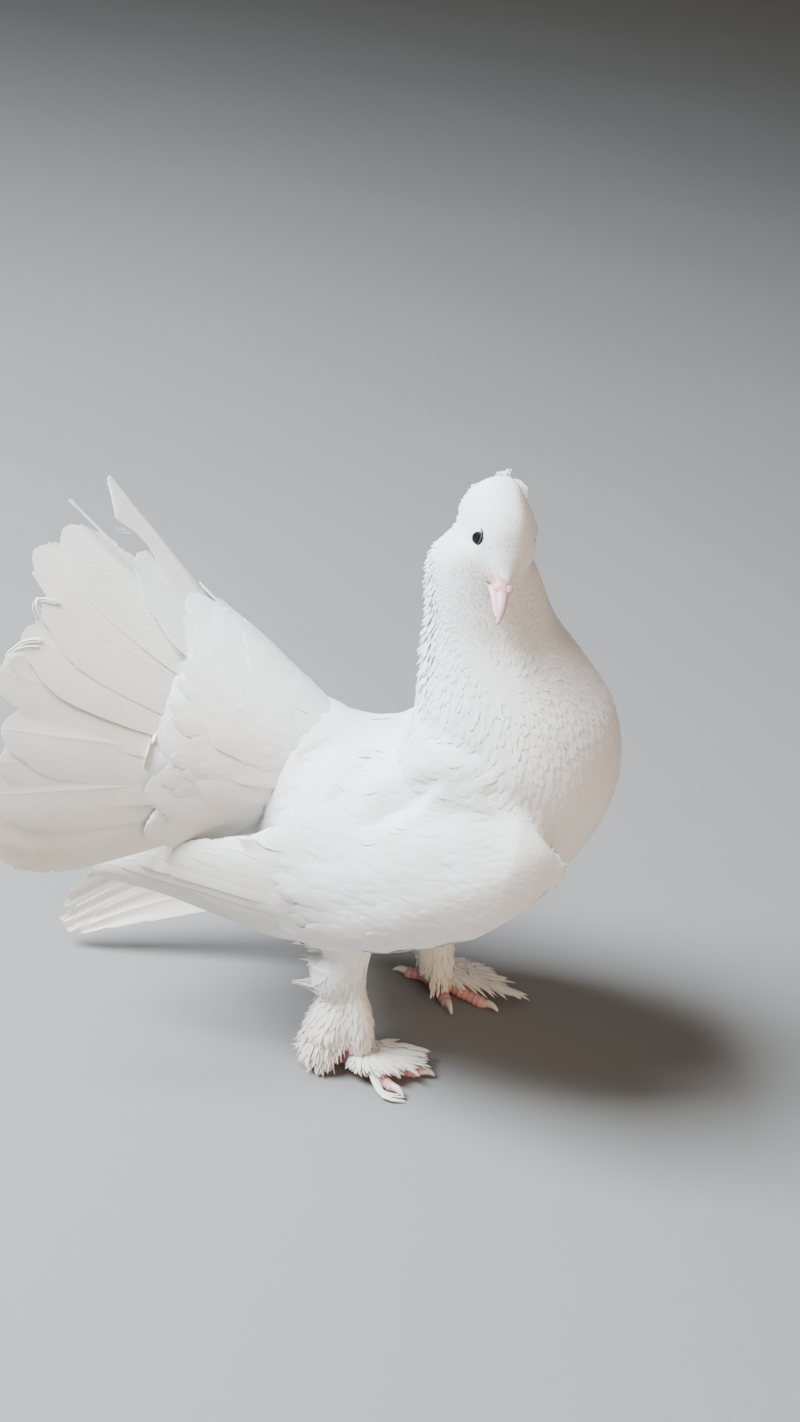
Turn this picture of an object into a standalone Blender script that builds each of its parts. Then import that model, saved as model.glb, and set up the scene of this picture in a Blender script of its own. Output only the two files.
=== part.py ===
"""A white fantail pigeon with feathered legs, standing with its head turned over its right side.

The bird faces +X, its left is +Y, and it stands on the plane Z = 0. Sizes in the tables are
millimetres, and every mesh is written in metres.
"""

import math

import bpy
import numpy as np

# Driving sizes, in millimetres
MM = 0.001
GAP = 0.32  # kept between two nodes that touch
CENTRE_X = -43.3  # middle of the bird's box, which becomes the origin
SHARP_ANGLE = math.radians(50.0)  # edges that turn more are creases
VANE = 0.55  # thickness of a feather's vane
VANE_STEP = 1.15  # rise from one vane to the next that lies over it
FLOOR_CLEAR = 1.2  # the lowest a hanging feather comes

# Body: hind and front point of each section in the bird's middle plane, and half its width
#        hind x  hind z  front x front z  half width
BODY = (
    (-82.0, 142.0, -76.0, 89.0, 24.0),
    (-66.0, 136.0, -66.0, 67.0, 34.0),
    (-49.0, 131.0, -50.0, 52.0, 40.0),
    (-35.0, 130.0, -30.0, 43.0, 43.5),
    (-24.0, 132.0, -6.0, 40.0, 45.5),
    (-17.5, 135.5, 18.0, 47.0, 46.5),
    (-14.0, 140.0, 38.0, 64.0, 46.5),
    (-13.0, 145.5, 53.0, 88.0, 45.5),
    (-13.5, 152.0, 62.0, 115.0, 43.5),
    (-14.5, 159.5, 64.0, 139.0, 40.0),
    (-16.0, 168.0, 56.5, 161.0, 35.0),
    (-17.5, 178.0, 43.5, 178.0, 29.5),
    (-18.0, 189.0, 32.5, 190.5, 25.5),
    (-18.4, 200.0, 25.5, 201.0, 22.5),
    (-17.5, 211.0, 20.5, 211.5, 19.5),
    (-12.5, 220.0, 14.0, 220.5, 16.0),
    (-7.0, 226.5, 9.0, 227.0, 9.0),
)
NECK_LEAN, NECK_LEAN_FROM, NECK_LEAN_TO = -7.0, 180.0, 222.0  # sideways, towards the head
BODY_RINGS, BODY_SIDES = 28, 22
NECK_CUT_Z, NECK_CUT_SLOPE = 153.0, 0.06  # plane between torso and neck
TAIL_CUT_X, TAIL_CUT_Z, TAIL_CUT_LEAN = -70.0, 112.0, math.radians(24.0)

# Head, in its own frame: x towards the bill tip, y to the bird's left, z to the crown
#        x    crown z  chin z  half width
HEAD = (
    (-19.0, 7.5, -8.0, 6.6),
    (-15.8, 12.6, -12.6, 10.2),
    (-10.0, 15.4, -14.4, 12.8),
    (-3.5, 16.0, -14.4, 13.9),
    (2.8, 15.2, -13.2, 13.4),
    (8.5, 12.9, -11.2, 11.2),
    (13.2, 9.2, -9.0, 8.7),
    (16.6, 5.2, -6.8, 6.2),
    (18.2, 1.9, -4.5, 3.7),
)
HEAD_RINGS, HEAD_SIDES = 14, 18
HEAD_PLACE = (5.5, -7.5, 223.6)
HEAD_YAW, HEAD_PITCH, HEAD_ROLL = (math.radians(a) for a in (-63.0, 28.0, -9.0))

# Bill, in the head's frame
#              x   top z  mouth z  half width
BILL_UPPER = (
    (13.0, 3.4, -2.8, 4.5),
    (17.0, 3.2, -2.8, 4.3),
    (21.0, 2.3, -2.7, 3.4),
    (25.0, 1.5, -2.9, 2.8),
    (29.0, 0.7, -3.4, 2.2),
    (32.4, -1.2, -4.4, 1.5),
    (34.4, -3.7, -5.5, 0.6),
)
BILL_LOWER = (
    (13.0, -3.15, -6.6, 3.9),
    (18.0, -3.15, -6.4, 3.5),
    (23.0, -3.1, -5.9, 2.7),
    (28.0, -3.7, -5.8, 1.9),
    (31.6, -4.6, -5.7, 0.9),
)
CERE_PLACE, CERE_SIZE = (18.8, 1.7, 2.0), (3.6, 2.1, 1.9)
NOSTRIL_PLACE, NOSTRIL_SIZE = (20.0, 3.3, 0.25), (2.1, 1.1, 0.42)
EYE_PLACE, EYE_R = (6.0, 8.2, 3.6), 4.2
LID_R, LID_THICK = 4.0, 0.85
LID_FACING, LID_OUT = (0.16, 1.0, 0.06), 2.0

# Crest: small feathers round the back of the crown
CREST_COUNT, CREST_LENGTH, CREST_WIDTH = 6, 7.6, 4.6
CREST_ARC = math.radians(80.0)

# Tail fan
TAIL_FEATHERS, TAIL_COVERTS = 25, 9
TAIL_LENGTH = 124.0  # from the root of a tail feather to its tip
TAIL_RISE, TAIL_DROP = math.radians(38.5), math.radians(-12.0)  # middle and outermost feather
TAIL_SPREAD = math.radians(37.0)  # how far the outermost feather turns out
TAIL_ROOT = (-47.0, 0.0, 117.0)
TAIL_ROOT_ARC = (13.0, 10.0)  # sideways and downwards
TAIL_WIDTH = 15.5  # half the width of a tail feather near its tip
TAIL_SAG = -2.0  # how far the tips bend down; below zero they flare up
# Worn feathers, by place from the middle one: share of the length, and of the width at stations
WORN_FEATHERS = {
    -2: (1.0, 1.0, 0.4, 0.14, 0.12, 0.12),
    -1: (0.74, 1.0, 1.0, 0.9, 0.8, 0.8),
    0: (1.06, 1.0, 0.8, 0.45, 0.35, 0.3),
    1: (0.72, 1.0, 0.9, 0.8, 0.8, 0.8),
    2: (0.86, 1.0, 1.0, 1.0, 1.0, 1.0),
}
MIDDLE_LIFT = (1.2, 1.2, 2.4, 4.6, 5.8)  # the middle feather bends up, in vane steps
FEATHER_STATIONS = (0.3, 0.52, 0.76, 0.93, 1.0)
COVERT_STATIONS = (0.5, 0.72, 0.92, 1.0)
# Soft feathers under the tail: x, middle z, half height, half width
UNDERTAIL = (
    (-60.0, 84.0, 15.0, 36.0),
    (-80.0, 85.0, 14.0, 38.0),
    (-102.0, 90.0, 9.0, 26.0),
    (-116.0, 95.0, 2.5, 8.0),
)
RUMP_REACH = 1.12  # how far round the fan the rump's wedge goes
# Sections of the rump: share of the tail feathers' length, half thickness
RUMP = ((0.05, 10.0), (0.18, 9.5), (0.33, 8.5), (0.46, 6.0), (0.54, 2.0))
TAIL_COVERT_LIFT = 3.0  # height of the coverts over the long feathers

# Wing: sections of the surface that the folded wing follows, front to rear
#         x     mid z  sideways radius  upright radius
WING = (
    (60.0, 116.0, 38.0, 24.0),
    (47.0, 112.0, 45.0, 38.0),
    (22.0, 101.0, 49.0, 46.0),
    (-8.0, 90.0, 49.5, 47.0),
    (-38.0, 86.0, 47.0, 43.0),
    (-68.0, 82.0, 45.5, 36.0),
    (-98.0, 74.0, 44.0, 28.0),
    (-130.0, 63.0, 40.0, 22.0),
)
WING_THICK = 7.5
WRIST_X, WING_COVER_LENGTH = 59.0, 99.0
# Flight feathers from the lowest up: seven primaries, six secondaries, three tertials
FLIGHTS_TIP_X = (-122, -121, -118, -114, -109, -103, -96, -86, -82, -77, -72, -67, -61, -55, -49, -42)
FLIGHTS_TIP_ANGLE = (-26, -22, -18, -14, -10, -6, -2, 3, 8, 14, 20.5, 27.5, 35, 43, 52, 61)
FLIGHTS_ROOT_ANGLES = (-38.0, 52.0)
FLIGHTS_ROOT_X = (8.0, -6.0)
FLIGHT_WIDTH, FLIGHT_LIFT = 7.0, 2.4
LEFT_BEND_X, LEFT_BEND_LENGTH = 0.0, 60.0  # where the left wing starts to hang lower
LEFT_WING_DROOP, LEFT_WING_SWING = math.radians(21.5), math.radians(31.0)
LEFT_WING_STRETCH, LEFT_WING_SPREAD = 0.17, 0.0065  # both for each millimetre behind the bend

# Legs: points of each leg's middle line, from the belly to the ankle
LEG_LINES = {
    "left": (
        (-6.0, 27.0, 66.0),
        (0.0, 29.0, 48.0),
        (3.0, 30.0, 34.0),
        (7.5, 31.0, 22.0),
        (8.0, 31.0, 15.0),
    ),
    "right": (
        (-19.0, -28.0, 66.0),
        (-17.0, -30.0, 50.0),
        (-12.5, -32.0, 35.0),
        (-5.5, -34.0, 22.0),
        (-5.0, -34.0, 15.0),
    ),
}
LEG_RADII = (15.0, 11.5, 6.2, 5.2, 5.6)
ANKLE_Z = 12.0
FOOT_HEADING = {"left": math.radians(-12.0), "right": math.radians(14.0)}
SIDE = {"left": 1.0, "right": -1.0}
# Leg feathers in tiers: height of the roots, length, fall for each millimetre outwards, headings
MUFF_TIERS = (
    (38.0, 19.0, 0.25, (105.0, 140.0, 175.0)),
    (30.0, 21.0, 0.65, (85.0, 115.0, 145.0, 172.0)),
    (21.0, 25.0, 0.66, (78.0, 104.0, 132.0, 160.0)),
)
MUFF_WIDTH, MUFF_CROWN = 3.6, 0.12
#        name     heading  length  radius at the root and at the tip
TOES = (
    ("inner", -42.0, 17.0, 3.1, 2.2),
    ("middle", 0.0, 26.0, 3.3, 2.3),
    ("outer", 39.0, 20.0, 3.0, 2.1),
    ("hind", 193.0, 13.5, 3.0, 2.2),
)
CLAW_LENGTH, CLAW_R = 6.5, 1.35
# Feathers over the toes: heading and length
FOOT_FEATHERS = ((-16.0, 24.0), (4.0, 31.0), (22.0, 28.0), (44.0, 26.0))
FOOT_FEATHER_FALL = -0.06

WHITE = (0.86, 0.87, 0.88)
PINK = (0.80, 0.45, 0.44)
MATERIALS = {
    "feathers": (WHITE, 0.75),
    "bill_horn": ((0.90, 0.70, 0.68), 0.38),
    "eye": ((0.015, 0.016, 0.022), 0.08),
    "foot_skin": (PINK, 0.55),
    "claw_horn": ((0.82, 0.72, 0.68), 0.4),
}


def unit(vector):
    """The same direction with length one, for one vector or for rows of them."""
    vector = np.asarray(vector, float)
    return vector / np.linalg.norm(vector, axis=-1, keepdims=True)


def through(rows, count):
    """A smooth curve through the rows of a table, as count rows (Catmull-Rom)."""
    rows = np.asarray(rows, float)
    at = np.linspace(0.0, len(rows) - 1.0, count)
    i = np.minimum(at.astype(int), len(rows) - 2)
    t = (at - i)[:, None]
    padded = np.vstack([2 * rows[0] - rows[1], rows, 2 * rows[-1] - rows[-2]])
    p0, p1, p2, p3 = (padded[i + k] for k in range(4))
    return 0.5 * (
        2 * p1
        + (p2 - p0) * t
        + (2 * p0 - 5 * p1 + 4 * p2 - p3) * t**2
        + (3 * p1 - p0 - 3 * p2 + p3) * t**3
    )


def outward(points, faces):
    """The faces turned so that the closed mesh has its outside out."""
    corners = points[faces]
    return faces if np.linalg.det(corners).sum() > 0 else faces[:, ::-1]


def closed_rings(rings):
    """Triangles between rows of points that each run round a body, with a cap at both ends."""
    rows, sides, _ = rings.shape
    points = np.vstack([rings.reshape(-1, 3), rings[0].mean(0), rings[-1].mean(0)])
    index = np.arange(rows * sides).reshape(rows, sides)
    a, b = index[:-1], np.roll(index[:-1], -1, axis=1)
    c, d = np.roll(index[1:], -1, axis=1), index[1:]
    faces = [np.stack([a, b, c], -1).reshape(-1, 3), np.stack([a, c, d], -1).reshape(-1, 3)]
    for ring, pole in ((index[0], rows * sides), (index[-1][::-1], rows * sides + 1)):
        faces.append(np.stack([np.roll(ring, -1), ring, np.full(sides, pole)], -1))
    faces = np.vstack(faces)
    return points, outward(points, faces)


def grown(shape, by):
    """The shape with each point moved out along its normal."""
    points, faces = shape
    corners = points[faces]
    normals = np.cross(corners[:, 1] - corners[:, 0], corners[:, 2] - corners[:, 0])
    at_points = np.zeros_like(points)
    for k in range(3):
        np.add.at(at_points, faces[:, k], normals)
    return points + by * unit(at_points + 1e-12), faces


def slab(thickness, face):
    """A thin closed plate round a sheet of points face, with normals, rows by columns.

    Both faces are split into triangles alike, so that a curved plate never crosses itself.
    """
    sheet, normals = face
    rows, columns, _ = sheet.shape
    half = normals * np.broadcast_to(thickness, sheet.shape[:2])[..., None] / 2.0
    points = np.vstack([(sheet + half).reshape(-1, 3), (sheet - half).reshape(-1, 3)])
    index = np.arange(rows * columns).reshape(rows, columns)
    a, b, c, d = index[:-1, :-1], index[:-1, 1:], index[1:, 1:], index[1:, :-1]
    upper = np.vstack(
        [np.stack([a, b, c], -1).reshape(-1, 3), np.stack([a, c, d], -1).reshape(-1, 3)]
    )
    rim = np.concatenate(
        [index[0, :-1], index[:-1, -1], index[-1, :0:-1], index[:0:-1, 0]]
    )
    after = np.roll(rim, -1)
    below = rows * columns
    walls = np.vstack(
        [
            np.stack([rim, rim + below, after + below], -1),
            np.stack([rim, after + below, after], -1),
        ]
    )
    faces = np.vstack([upper, upper[:, ::-1] + below, walls])
    return points, outward(points, faces)


def ball(centre, radii, rings=8, sides=12):
    """A sphere or an ellipsoid."""
    turn = np.linspace(0.0, math.pi, rings + 1)[1:-1]
    round_ = np.linspace(0.0, 2 * math.pi, sides, endpoint=False)
    x = np.cos(turn)[:, None] * np.ones(sides)
    y = np.sin(turn)[:, None] * np.cos(round_)
    z = np.sin(turn)[:, None] * np.sin(round_)
    rings_of_points = np.stack([x, y, z], -1) * np.asarray(radii) + np.asarray(centre)
    points, faces = closed_rings(rings_of_points)
    points[-2] = np.asarray(centre) + (radii[0], 0.0, 0.0)
    points[-1] = np.asarray(centre) - (radii[0], 0.0, 0.0)
    return points, faces


def tube(path, radii, sides=10, flat=1.0):
    """A round body along a path, with a radius at each point; flat squashes it upright."""
    path, radii = np.asarray(path, float), np.asarray(radii, float)
    along = unit(np.gradient(path, axis=0))
    side = unit(np.cross(along, (0.0, 0.0, 1.0)) + np.array([0.0, 1e-6, 0.0]))
    up = np.cross(side, along)
    turn = np.linspace(0.0, 2 * math.pi, sides, endpoint=False)
    rings = path[:, None] + radii[:, None, None] * (
        np.cos(turn)[None, :, None] * side[:, None]
        + flat * np.sin(turn)[None, :, None] * up[:, None]
    )
    return closed_rings(rings)


def sections(table, rings, sides, power=2.0):
    """Rings round a body whose table rows hold (hind x, hind z, front x, front z, half width)."""
    rows = through(table, rings)
    turn = np.linspace(0.0, 2 * math.pi, sides, endpoint=False)
    across = np.sign(np.cos(turn)) * np.abs(np.cos(turn)) ** (2.0 / power)
    upright = np.sign(np.sin(turn)) * np.abs(np.sin(turn)) ** (2.0 / power)
    middle = np.stack([rows[:, 0] + rows[:, 2], 0 * rows[:, 0], rows[:, 1] + rows[:, 3]], -1) / 2
    reach = np.stack([rows[:, 0] - rows[:, 2], 0 * rows[:, 0], rows[:, 1] - rows[:, 3]], -1) / 2
    wide = np.stack([0 * rows[:, 4], rows[:, 4], 0 * rows[:, 4]], -1)
    return (
        middle[:, None]
        + reach[:, None] * upright[None, :, None]
        + wide[:, None] * across[None, :, None]
    )


def upright_rows(table):
    """Rows (x, top z, low z, half width) as rows for sections."""
    return [(x, top, x, low, wide) for x, top, low, wide in table]


def vane(line, sideways, normal, half_widths, crown=0.0):
    """A feather's vane as a plate three points wide, with a row for each station.

    crown raises the middle over the edges, as a share of the half width.
    """
    columns = np.array([-1.0, 0.0, 1.0])
    across = half_widths[:, None] * columns
    raised = crown * half_widths[:, None] * (1.0 - np.abs(columns))
    sheet = line[:, None] + across[..., None] * sideways[:, None] + raised[..., None] * normal[:, None]
    normals = np.broadcast_to(normal[:, None], sheet.shape)
    return slab(VANE, (sheet, normals))


def blade_widths(stations, widest=0.72, root=0.35, tip=0.3):
    """Half width along a feather, as a share of the widest: slim root, full blade, round tip."""
    stations = np.asarray(stations, float)
    rise = root + (1 - root) * np.sin(np.clip(stations / widest, 0, 1) * math.pi / 2)
    past = np.clip((stations - widest) / (1 - widest), 0, 1)
    return rise * np.sqrt(np.maximum(1 - (1 - tip**2) * past**2, 0.0))


# Joining and cutting, with Blender's Boolean modifier
def add_object(name, shape):
    """A mesh object made from points in millimetres."""
    points, faces = shape
    mesh = bpy.data.meshes.new(name)
    mesh.from_pydata((points * MM).tolist(), [], faces.tolist())
    mesh.validate()
    made = bpy.data.objects.new(name, mesh)
    bpy.context.scene.collection.objects.link(made)
    return made


def apply_modifiers(made):
    """The object's mesh as its modifiers leave it, with the modifiers gone."""
    graph = bpy.context.evaluated_depsgraph_get()
    mesh = bpy.data.meshes.new_from_object(made.evaluated_get(graph))
    made.modifiers.clear()
    made.data = mesh


def boolean(made, operation, shapes, solver):
    """Joins shapes to the object or cuts them from it, all at once."""
    helpers = bpy.data.collections.new("helpers")
    bpy.context.scene.collection.children.link(helpers)
    for k, shape in enumerate(shapes):
        helper = add_object(f"helper_{k}", shape)
        bpy.context.scene.collection.objects.unlink(helper)
        helpers.objects.link(helper)
    step = made.modifiers.new("step", "BOOLEAN")
    step.operation = operation
    step.operand_type = "COLLECTION"
    step.collection = helpers
    step.solver = solver
    apply_modifiers(made)
    for helper in list(helpers.objects):
        bpy.data.objects.remove(helper)
    bpy.data.collections.remove(helpers)


def keep_largest(made):
    """Drops every closed surface of the mesh but the largest."""
    mesh = made.data
    count = len(mesh.vertices)
    edges = np.empty(len(mesh.edges) * 2, np.int64)
    mesh.edges.foreach_get("vertices", edges)
    edges = edges.reshape(-1, 2)
    label = np.arange(count)
    while True:
        low = np.minimum(label[edges[:, 0]], label[edges[:, 1]])
        before = label.copy()
        np.minimum.at(label, edges[:, 0], low)
        np.minimum.at(label, edges[:, 1], low)
        label = label[label]
        if (label == before).all():
            break
    mesh.calc_loop_triangles()
    corners = np.empty(len(mesh.loop_triangles) * 3, np.int64)
    mesh.loop_triangles.foreach_get("vertices", corners)
    corners = corners.reshape(-1, 3)
    points = np.empty(count * 3)
    mesh.vertices.foreach_get("co", points)
    points = points.reshape(-1, 3)
    volume = np.bincount(label[corners[:, 0]], np.linalg.det(points[corners]), count)
    kept = corners[label[corners[:, 0]] == int(np.argmax(volume))]
    used, index = np.unique(kept, return_inverse=True)
    mesh = bpy.data.meshes.new(made.name)
    mesh.from_pydata(points[used].tolist(), [], index.reshape(-1, 3).tolist())
    made.data = mesh


def node(name, material, pieces, cuts=(), solver="MANIFOLD"):
    """One named object: its pieces joined, cuts taken away, its largest body kept."""
    made = add_object(name, pieces[0])
    if len(pieces) > 1:
        boolean(made, "UNION", pieces[1:], solver)
        keep_largest(made)
    for cut in cuts:
        boolean(made, "DIFFERENCE", [cut], solver)
    keep_largest(made)
    made.data.name = name
    made.data.materials.append(material)
    made.data.shade_smooth()
    made.data.set_sharp_from_angle(angle=SHARP_ANGLE)
    made.location.x = -CENTRE_X * MM


def make_material(name, colour, roughness):
    """A plain Principled material."""
    material = bpy.data.materials.new(name)
    material.use_nodes = True
    shader = material.node_tree.nodes["Principled BSDF"]
    shader.inputs["Base Color"].default_value = (*colour, 1.0)
    shader.inputs["Roughness"].default_value = roughness
    material.diffuse_color = (*colour, 1.0)
    return material


def half_space(point, towards, size=400.0):
    """A large block whose face passes through point and which lies towards a direction."""
    towards = unit(towards)
    side = unit(np.cross(towards, (0.0, 1.0, 0.0)) + np.array([1e-9, 0.0, 0.0]))
    other = np.cross(towards, side)
    corner = np.array([-1.0, 1.0, 1.0, -1.0])
    other_corner = np.array([-1.0, -1.0, 1.0, 1.0])
    ring = size * (corner[:, None] * side + other_corner[:, None] * other)
    rings = np.stack([ring + point, ring + point + size * towards])
    return closed_rings(rings)


# Torso and neck are one smooth body, parted by a plane
def body_shape():
    rings = sections(BODY, BODY_RINGS, BODY_SIDES, power=2.1)
    up_neck = (rings[..., 2] - NECK_LEAN_FROM) / (NECK_LEAN_TO - NECK_LEAN_FROM)
    rings[..., 1] += NECK_LEAN * np.clip(up_neck, 0.0, 1.0) ** 2
    return closed_rings(rings)


def neck_plane(shift):
    """Point and upward normal of the plane at the foot of the neck, moved up by shift."""
    normal = unit((-NECK_CUT_SLOPE, 0.0, 1.0))
    return np.array([20.0, 0.0, NECK_CUT_Z]) + shift * normal, normal


def tail_plane(shift):
    """Point and rearward normal of the plane between torso and tail, moved back by shift."""
    normal = np.array([-math.cos(TAIL_CUT_LEAN), 0.0, math.sin(TAIL_CUT_LEAN)])
    return np.array([TAIL_CUT_X, 0.0, TAIL_CUT_Z]) + shift * normal, normal


# Head, bill and eyes
def head_axes():
    """Rows: the head's own x, y and z axes in the bird's frame."""
    cy, sy = math.cos(HEAD_YAW), math.sin(HEAD_YAW)
    cp, sp = math.cos(HEAD_PITCH), math.sin(HEAD_PITCH)
    ahead = np.array([cy * cp, sy * cp, -sp])
    level = np.array([-sy, cy, 0.0])
    above = np.cross(ahead, level)
    left = math.cos(HEAD_ROLL) * level + math.sin(HEAD_ROLL) * above
    return np.stack([ahead, left, np.cross(ahead, left)])


def placed_on_head(shape):
    points, faces = shape
    return points @ head_axes() + np.array(HEAD_PLACE), faces


def head_shape():
    return placed_on_head(closed_rings(sections(upright_rows(HEAD), HEAD_RINGS, HEAD_SIDES, 2.15)))


def lid(side):
    """The ring of bare skin round an eye, facing out and a little forwards."""
    out = unit(np.array(LID_FACING) * (1.0, side, 1.0))
    first = unit(np.cross(out, (0.0, 0.0, 1.0)))
    second = np.cross(out, first)
    centre = np.array(EYE_PLACE) * (1.0, side, 1.0) + LID_OUT * out
    turn = np.linspace(0.0, 2 * math.pi, 12, endpoint=False)
    small = np.linspace(0.0, 2 * math.pi, 5, endpoint=False)
    ring = np.cos(turn)[:, None] * first + np.sin(turn)[:, None] * second
    points = centre + (LID_R + LID_THICK * np.cos(small))[None, :, None] * ring[:, None]
    points = points + LID_THICK * np.sin(small)[None, :, None] * out
    index = np.arange(len(turn) * len(small)).reshape(len(turn), len(small))
    a, b = index, np.roll(index, -1, axis=1)
    c, d = np.roll(b, -1, axis=0), np.roll(index, -1, axis=0)
    halves = [np.stack([a, b, c], -1), np.stack([a, c, d], -1)]
    faces = np.vstack([half.reshape(-1, 3) for half in halves])
    points = points.reshape(-1, 3)
    return placed_on_head((points, outward(points, faces)))


def eye_shape(side, grow=0.0):
    centre = np.array(EYE_PLACE) * (1.0, side, 1.0)
    return placed_on_head(ball(centre, np.full(3, EYE_R + grow), 8, 12))


def crest_feathers(seed=3):
    """Short feathers round the back of the crown, standing up and curling forwards."""
    chance = np.random.default_rng(seed)
    made = []
    for k in range(CREST_COUNT):
        turn = (k / (CREST_COUNT - 1) - 0.5) * CREST_ARC
        root = np.array([-8.0 - 5.0 * math.cos(turn), 9.5 * math.sin(turn), 9.8])
        out = unit((-0.55 * math.cos(turn) - 0.1, 0.75 * math.sin(turn), 1.0))
        length = CREST_LENGTH * chance.uniform(0.8, 1.15)
        s = np.array([0.0, 0.35, 0.7, 1.0])
        curl = np.array([1.0, 0.2 * chance.uniform(-1, 1), -0.1])
        line = root + length * (s[:, None] * out + 0.34 * (s**2)[:, None] * curl)
        along = unit(np.gradient(line, axis=0))
        side = unit(np.cross(along, (math.cos(turn), -math.sin(turn), 0.2)))
        half = CREST_WIDTH / 2 * np.array([0.9, 1.0, 0.8, 0.25])
        made.append(placed_on_head(vane(line, side, np.cross(side, along), half)))
    return made


def bill_shape(table, rings=9, sides=10):
    return placed_on_head(closed_rings(sections(upright_rows(table), rings, sides, 2.2)))


def cere(side):
    """The soft swelling over a nostril."""
    centre = np.array(CERE_PLACE) * (1.0, side, 1.0)
    return placed_on_head(ball(centre, CERE_SIZE, 5, 8))


def nostril(side):
    """The slit under the front edge of the cere."""
    centre = np.array(NOSTRIL_PLACE) * (1.0, side, 1.0)
    return placed_on_head(ball(centre, NOSTRIL_SIZE, 4, 6))


# Tail
def fan_direction(t):
    """Direction of a tail feather, for t from -1 (right outermost) to 1 (left outermost)."""
    turned = np.asarray(t, float) * math.pi / 2
    rise = TAIL_DROP + (TAIL_RISE - TAIL_DROP) * np.cos(turned)
    out = TAIL_SPREAD * np.sin(turned)
    return np.stack([-np.cos(rise) * np.cos(out), np.cos(rise) * np.sin(out), np.sin(rise)], -1)


def fan_point(away, t, lift):
    """A point of the fan: its distance from the roots, its place across, its height over it."""
    turned = np.asarray(t, float) * math.radians(80.0)
    sideways, down = TAIL_ROOT_ARC
    drop = TAIL_SAG * (away / TAIL_LENGTH) ** 2
    root = np.stack([0 * turned, sideways * np.sin(turned), down * (np.cos(turned) - 1.0)], -1)
    along = fan_direction(t)
    across = fan_direction(np.asarray(t) + 0.01) - fan_direction(np.asarray(t) - 0.01)
    up = np.cross(unit(across), along)
    height = (lift - drop)[..., None]
    return root + TAIL_ROOT + away[..., None] * along + height * up, up


def fan_places(count):
    """Places across the fan at even distances, with the pitch between them in t."""
    t = np.linspace(-1.0, 1.0, 201)
    steps = np.linalg.norm(np.diff(fan_direction(t), axis=0), axis=1)
    run = np.concatenate([[0.0], np.cumsum(steps)])
    places = np.interp(np.linspace(0.0, run[-1], count), run, t)
    return places, np.gradient(places)


def fan_vane(t, pitch, length, half_width, lift, stations, narrow=1.0):
    """One vane on the fan. Each outer edge lies VANE_STEP over the next vane's inner edge."""
    s = np.array(stations)
    away = length * s
    near, _ = fan_point(away, np.full(len(s), t), 0 * s)
    ahead, _ = fan_point(away, np.full(len(s), t + 0.01), 0 * s)
    per_mm = 0.01 / np.linalg.norm(ahead - near, axis=1)
    half = half_width * blade_widths(s, 0.75, 0.3, 0.45) * narrow
    side = 0.0 if abs(t) < pitch / 4 else math.copysign(1.0, t)
    inner = np.minimum(half, abs(t) / per_mm - GAP) if side else half  # kept off the middle
    across = np.stack([-inner, 0 * s, half], 1) * (side or 1.0)
    rise = lift[:, None] + VANE_STEP * side * across * per_mm[:, None] / pitch
    away = np.repeat(away[:, None], 3, 1)
    return slab(VANE, fan_point(away, t + across * per_mm[:, None], rise))


def tail_feathers(seed=11):
    """The long feathers, the middle one on top, some of them worn."""
    chance = np.random.default_rng(seed)
    places, pitches = fan_places(TAIL_FEATHERS)
    middle = TAIL_FEATHERS // 2
    made = []
    for k, (t, pitch) in enumerate(zip(places, pitches)):
        length, narrow = TAIL_LENGTH * chance.uniform(0.96, 1.02), np.ones(5)
        if k - middle in WORN_FEATHERS:
            share, *narrow = WORN_FEATHERS[k - middle]
            length, narrow = TAIL_LENGTH * share, np.array(narrow)
        lift = VANE_STEP * np.array(MIDDLE_LIFT) if k == middle else np.zeros(5)
        made.append(fan_vane(t, pitch, length, TAIL_WIDTH, lift, FEATHER_STATIONS, narrow))
    return made


def tail_coverts(seed=12):
    """A tier of short round feathers over the roots of the long ones."""
    chance = np.random.default_rng(seed)
    places, pitches = fan_places(TAIL_COVERTS)
    made = []
    for t, pitch in zip(places, pitches):
        length = TAIL_LENGTH * chance.uniform(0.56, 0.64)
        lift = np.full(4, TAIL_COVERT_LIFT + (VANE_STEP if abs(t) < pitch / 4 else 0.0))
        made.append(fan_vane(t, pitch, length, 0.8 * TAIL_WIDTH, lift, COVERT_STATIONS))
    return made


def rump_shape():
    """The feathered base of the tail: an arched wedge from the torso to the tail coverts."""
    turn = np.linspace(0.0, 2 * math.pi, 24, endpoint=False)
    rings = []
    for share, thick in RUMP:
        away = np.full(turn.shape, share * TAIL_LENGTH)
        rings.append(fan_point(away, RUMP_REACH * np.sin(turn), thick * np.cos(turn))[0])
    return closed_rings(np.array(rings))


def undertail():
    """The soft feathers under the tail: a lobe with rows of (x, z, half height, half width)."""
    table = [(x, z + tall, x, z - tall, wide) for x, z, tall, wide in UNDERTAIL]
    return closed_rings(sections(table, 7, 14))


# Wings
def wing_surface(x, angle, lift):
    """A point of the right wing: place along it, angle above level, height over its surface."""
    rows = through(WING, 60)[::-1]
    mid, wide, tall = (np.interp(x, rows[:, 0], rows[:, k]) for k in (1, 2, 3))
    normal = unit(np.stack([0 * x, -np.cos(angle) / wide, np.sin(angle) / tall], -1))
    point = np.stack([x, -wide * np.cos(angle), mid + tall * np.sin(angle)], -1)
    return point + np.asarray(lift)[..., None] * normal, normal


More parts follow.
